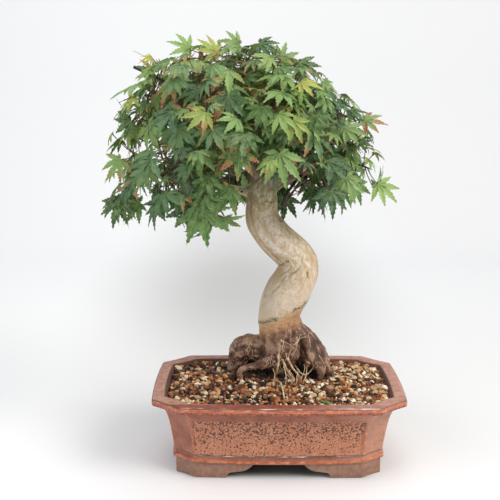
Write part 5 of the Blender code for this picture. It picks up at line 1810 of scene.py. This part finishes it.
def leaf_material(name, deep, middle, light):
    """A thin green blade: veins from the lobe's own run and width, tint and scorch from leaf to leaf."""
    made, tree, place = new_material(name)
    keys = "run", "rib", "tint", "scorch"
    run, rib, tint, scorch = [put(tree, "carried", attribute_name=key) for key in keys]
    mottle = put(tree, "noise", place, blobs(5.0), 4.0, 0.6)
    spots = put(tree, "noise", place, blobs(1.6), 4.0, 0.65)
    tones = ((0.0, deep), (0.3, middle), (0.58, light), (0.82, "#a3b35a"), (1.0, "#d0c455"))
    colour = put(tree, "ramp", tint, stops=tones)
    colour = put(tree, "mix", put(tree, "window", mottle, 0.38, 0.66, 0.0, 0.5), colour, tone(light))
    colour = put(tree, "mix", put(tree, "window", mottle, 0.30, 0.46, 0.35, 0.0), colour, tone(deep))
    colour = coats(tree, colour, (spots, 0.55, 0.70, 0.0, 0.35, "#a3ab63"))
    slant = put(tree, "add", put(tree, "multiply", run, 9.0), put(tree, "multiply", rib, -1.1))
    wave = put(tree, "absolute", put(tree, "subtract", put(tree, "fract", slant), 0.5))
    vein = put(tree, "window", wave, 0.0, 0.09, 1.0, 0.0)
    middle_rib = put(tree, "window", rib, 0.02, 0.16, 1.0, 0.0)
    lines = put(tree, "maximum", put(tree, "multiply", vein, 0.4), middle_rib)
    colour = put(tree, "mix", put(tree, "multiply", lines, 0.45), colour, tone("#a8b878"))
    # Sun-scorch starts at tips and margins: first yellow-olive, then rust, then dry tan.
    burn = join(tree, "add", put(tree, "multiply", run, 0.75), put(tree, "multiply", rib, 0.26),
        put(tree, "multiply", put(tree, "subtract", mottle, 0.5), 1.1),
        put(tree, "multiply", put(tree, "subtract", spots, 0.5), 0.7), scorch,
    )
    rusty = put(tree, "ramp", spots, stops=((0.35, "#7a452d"), (0.5, "#ab6c49"), (0.65, "#c99c75")))
    colour = coats(tree, colour, (burn, 1.05, 1.30, 0.0, 0.65, "#a79a52"))
    colour = put(tree, "mix", put(tree, "window", burn, 1.28, 1.44), colour, rusty)
    relief = put(tree, "bump", put(tree, "multiply", lines, -1.0), 0.35 * MM, 0.8)
    relief = put(tree, "bump", mottle, 0.5 * MM, 0.45, relief)
    rough = put(tree, "window", mottle, 0.3, 0.7, 0.30, 0.50)
    face = put(
        tree, "principled", Base_Color=colour, Roughness=rough, Normal=relief, Specular_IOR_Level=0.5,
    )
    bright = put(tree, "hue", Saturation=1.12, Value=1.35, Color=colour)
    through = put(tree, "translucent", Color=bright, Normal=relief)
    put(tree, "output", put(tree, "mix_shaders", 0.26, face, through))
    return made


def twig_material():
    made, tree, place = new_material("maple_twig_skin")
    fresh = put(tree, "carried", attribute_name="tint")
    speckle = put(tree, "noise", place, blobs(1.4), 4.0)
    woody = put(tree, "ramp", speckle, stops=((0.3, "#3b3026"), (0.7, "#64533f")))
    red = put(tree, "ramp", speckle, stops=((0.3, "#4a2a1f"), (0.7, "#77503d")))
    green = put(tree, "ramp", speckle, stops=((0.3, "#6a7a3d"), (0.7, "#97965c")))
    colour = put(tree, "mix", put(tree, "window", fresh, 0.1, 0.45), woody, red)
    colour = put(tree, "mix", put(tree, "window", fresh, 0.6, 0.95), colour, green)
    put(
        tree, "output",
        put(
            tree, "principled", Base_Color=colour, Roughness=0.5,
            Normal=put(tree, "bump", speckle, 0.3 * MM, 0.5),
        ),
    )
    return made


LOBES = ((0, 1.0, 19), (38, 0.93, 58), (78, 0.74, 101), (124, 0.40, 152))
SINUSES = {19: 0.28, 58: 0.25, 101: 0.18, 152: 0.09}
WIDEST = 0.40
STALK_RADII = (0.00075, 0.0005, 0.00048, 0.0006)


def lobe_half(t, notch, long):
    """Half width at a share of a lobe's run: it swells from the notch, then tapers to a long point."""
    most = 0.120 * long ** 0.75
    if t < WIDEST:
        return notch + (most - notch) * math.sin(t / WIDEST * math.pi / 2)
    return most * (1 - (t - WIDEST) / (1 - WIDEST)) ** 1.2


class Blade:
    """Collects a leaf's corners: each is bent out of the flat, and carries its run, rib and scorch."""

    def __init__(self, base, ahead, normal, length, droop, draw):
        self.frame = base, ahead.cross(normal).normalized(), ahead, normal, length
        self.droop = droop
        self.curl = draw.uniform(0.0, 0.32)
        self.twist = draw.uniform(-0.2, 0.2)
        self.cup = draw.uniform(-0.16, 0.20)
        self.corners, self.runs, self.ribs, self.burns = [], [], [], []

    def add(self, x, y, lift, run, rib, burn):
        base, right, ahead, normal, length = self.frame
        reach = math.hypot(x, y)
        sink = self.droop * reach * reach + self.curl * max(0.0, reach - 0.5) ** 2
        sink += self.cup * x * x - self.twist * x * y
        self.corners.append(base + (right * x + ahead * y - normal * (sink - lift)) * length)
        self.runs.append(run)
        self.ribs.append(rib)
        self.burns.append(burn)
        return len(self.corners) - 1


def lobe_strip(blade, way, long, bend, drop, fold, steps, side, start, notch, rib_line, burn):
    """One side of a lobe, from its rib to its saw-toothed margin, as two rows of faces."""
    across = Vector((way.y, -way.x)) * side
    low, spread = notch
    from_run = low * math.cos(spread) / long
    margin, between = [start], [rib_line[0]]
    for k in range(1, steps):
        t = k / steps
        s = from_run + (1 - from_run) * (t - 0.02)
        tooth = (0.026 if k % 2 else -0.012) * (1.1 - 0.7 * t)
        wide = max(0.004, lobe_half(t, low * math.sin(spread), long) + tooth)
        curve = Vector((way.y, -way.x)) * (bend * long * s * s)
        slide = 0.03 if k % 2 else 0.0
        sink = drop * s * s
        spot = way * (long * (s + slide)) + across * wide + curve
        margin.append(blade.add(spot.x, spot.y, fold * wide - sink, s, 1.0, burn))
        spot = way * (long * (s * 0.6 + t * 0.4)) + across * (wide * 0.5) + curve
        between.append(blade.add(spot.x, spot.y, fold * wide * 0.55 - sink, (s + t) / 2, 0.5, burn))
    faces = []
    for k in range(steps - 1):
        faces.append((rib_line[k], rib_line[k + 1], between[k + 1], between[k]))
        faces.append((between[k], between[k + 1], margin[k + 1], margin[k]))
    faces += [(rib_line[-2], rib_line[-1], between[-1]), (between[-1], rib_line[-1], margin[-1])]
    faces = [tuple(dict.fromkeys(face)) for face in faces]
    return [face if side < 0 else tuple(reversed(face)) for face in faces if len(face) > 2]


def fine_leaf(pile, base, ahead, normal, length, droop, root, draw, tint, scorch):
    """One saw-toothed palmate blade, folded along its ribs, and its curved stalk."""
    blade = Blade(base, ahead, normal, length, droop, draw)
    steps = 11 if length > 0.0235 else 7
    close = draw.uniform(0.84, 1.0)
    fold = draw.uniform(0.1, 0.42)
    centre = blade.add(0, 0, BLADE_HALF * MM / length * 0.5, 0, 0, 0)
    notches = {}
    for angle, reach in SINUSES.items():
        for side in (-1, 1):
            turn = math.radians(angle * close + draw.uniform(-1.5, 1.5)) * side
            wide = reach * draw.uniform(0.85, 1.1)
            x, y = wide * math.sin(turn), wide * math.cos(turn)
            notches[side * angle] = blade.add(x, y, 0.035, 0.2, 0.9, 0)
    faces = []
    inner = -LOBES[0][2]
    for angle, reach, outer in LOBES:
        for side in (1, -1) if angle else (1,):
            long = reach * (draw.uniform(0.92, 1.04) if angle < 110 else draw.uniform(0.7, 1.05))
            turn = math.radians((angle * close + draw.uniform(-3.5, 3.5)) * side)
            way = Vector((math.sin(turn), math.cos(turn)))
            bend = draw.uniform(-0.09, 0.09)
            drop = draw.uniform(-0.04, 0.17)
            burn = scorch * draw.uniform(0.3, 1.2)
            rib_line = [centre]
            for k in range(1, steps + 1):
                t = k / steps
                spot = way * (long * t) + Vector((way.y, -way.x)) * (bend * long * t * t)
                rib_line.append(blade.add(spot.x, spot.y, -0.006 - drop * t * t, t, 0.0, burn))
            for half, edge in ((side, outer), (-side, inner)):
                notch = SINUSES[abs(edge)], math.radians(abs(edge - angle))
                start = notches[edge * side]
                faces += lobe_strip(
                    blade, way, long, bend, drop, fold, steps, half, start, notch, rib_line, burn,
                )
        inner = outer
    values = {"run": blade.runs, "rib": blade.ribs, "tint": tint, "scorch": blade.burns}
    pile.add(blade.corners, faces, skin=0, **values)
    sag = Vector((0, 0, -0.05 * (root - base).length)) + normal * -0.0004
    route = [root, root.lerp(base, 0.35) + sag, root.lerp(base, 0.75) + sag * 0.8, base - normal * 0.0003]
    pile.add(*tube(route, STALK_RADII, 5), skin=1, run=0, rib=0, tint=draw.uniform(0.3, 0.9), scorch=0)


def fine_twig(pile, points, radii, draw, thick):
    """A twig with a slight wander and swollen joints."""
    rings = []
    for i in range(len(points) - 1):
        span = points[i + 1] - points[i]
        steps = max(2, int(span.length / 0.004))
        for k in range(steps):
            t = k / steps
            radius = radii[i] + (radii[i + 1] - radii[i]) * t
            joint = 1.22 if (k + i) % 3 == 1 else 0.92
            wander = shake(draw, 0.0004) if 0 < k else Vector((0, 0, 0))
            rings.append((points[i] + span * t + wander, radius * joint * thick))
    rings.append((points[-1], radii[-1] * 0.8 * thick))
    ahead = (points[-1] - points[-2]).normalized()
    rings.append((points[-1] + ahead * 0.0022, radii[-1] * 0.9 * thick))
    rings.append((points[-1] + ahead * 0.0046, radii[-1] * 0.15 * thick))
    fresh = 0.5 if radii[0] < 0.0018 else 0.12
    count = len(rings)
    corners, faces = tube([r[0] for r in rings], [r[1] for r in rings], 8)
    tints = [fresh + 0.25 * (k // 8) / count for k in range(len(corners))]
    pile.add(corners, faces, skin=1, run=0, rib=0, tint=tints, scorch=0)


def depth_in_crown(spot):
    """0 at the crown's heart, 1 at its outside."""
    away = spot / MM - Vector(CROWN_CENTRE)
    tall = CROWN_UP if away.z > 0 else CROWN_DOWN
    return Vector((away.x / CROWN_HALF[0], away.y / CROWN_HALF[1], away.z / tall)).length


def leaf_look(leaf, draw):
    """How light a leaf is and how far it is scorched: darker low, at the right and at the front's middle."""
    spot, length = leaf[0], leaf[3]
    # Painted shade: a leaf is darker the deeper it sits in the crown, where less light reaches, as shade
    # leaves are too.
    shade = 0.12 + 0.36 * depth_in_crown(spot)
    shade -= 0.20 if spot.z < 0.315 or length > 0.038 else 0.0
    shade -= 0.13 if spot.x > -0.03 else 0.0
    shade -= 0.18 if spot.y < -0.085 and 0.315 < spot.z < 0.365 else 0.0
    shade += 0.08 if spot.z > 0.39 else 0.0
    shade = min(0.66, max(0.0, draw.gauss(shade, 0.27)))
    shade += draw.uniform(0.1, 0.3) if draw.random() < 0.07 else 0.0
    dry_side = spot.z > 0.33 and spot.x < 0
    scorch = draw.uniform(0.1, 0.86) if draw.random() < (0.75 if dry_side else 0.45) else 0.0
    return leaf[6:] if len(leaf) > 6 else (shade, scorch)


def build_foliage():
    light = leaf_material("maple_leaf_light", "#274322", "#51763a", "#8bac66")
    dark = leaf_material("maple_leaf_dark", "#1f3a28", "#3f6540", "#789a66")
    twig = twig_material()
    draw = random.Random(SEED + 5)
    total = 0
    for index, (name, spray) in enumerate(sprays.items()):
        pile = Pile()
        for points, radii in spray["twigs"]:
            fine_twig(pile, points, radii, draw, 0.6)
        for leaf in spray["leaves"]:
            shade, scorch = leaf_look(leaf, draw)
            fine_leaf(pile, *leaf[:6], draw, shade, scorch)
            total += 1
        green = light if index % 2 == 0 else dark
        made = pile.build("foliage_" + name, [green, twig])
        declare(made, "leaf_light" if index % 2 == 0 else "leaf_dark", "spray_" + name)
    # One small leaf has dropped on the soil at the front.
    pile = Pile()
    spot = mm(45, -57, soil_height(45, -57) + 3.4)
    way = Vector((0.95, -0.3, 0)).normalized()
    face = (Vector((0, 0.25, 1)) - way * Vector((0, 0.25, 1)).dot(way)).normalized()
    fine_leaf(pile, spot, way, face, 0.0125, 0.25, spot - mm(4, -1, 0.6), draw, 0.45, 0.0)
    declare(pile.build("fallen_leaf", [light, twig]), "leaf_light")
    print("leaves in all:", total)


build_foliage()
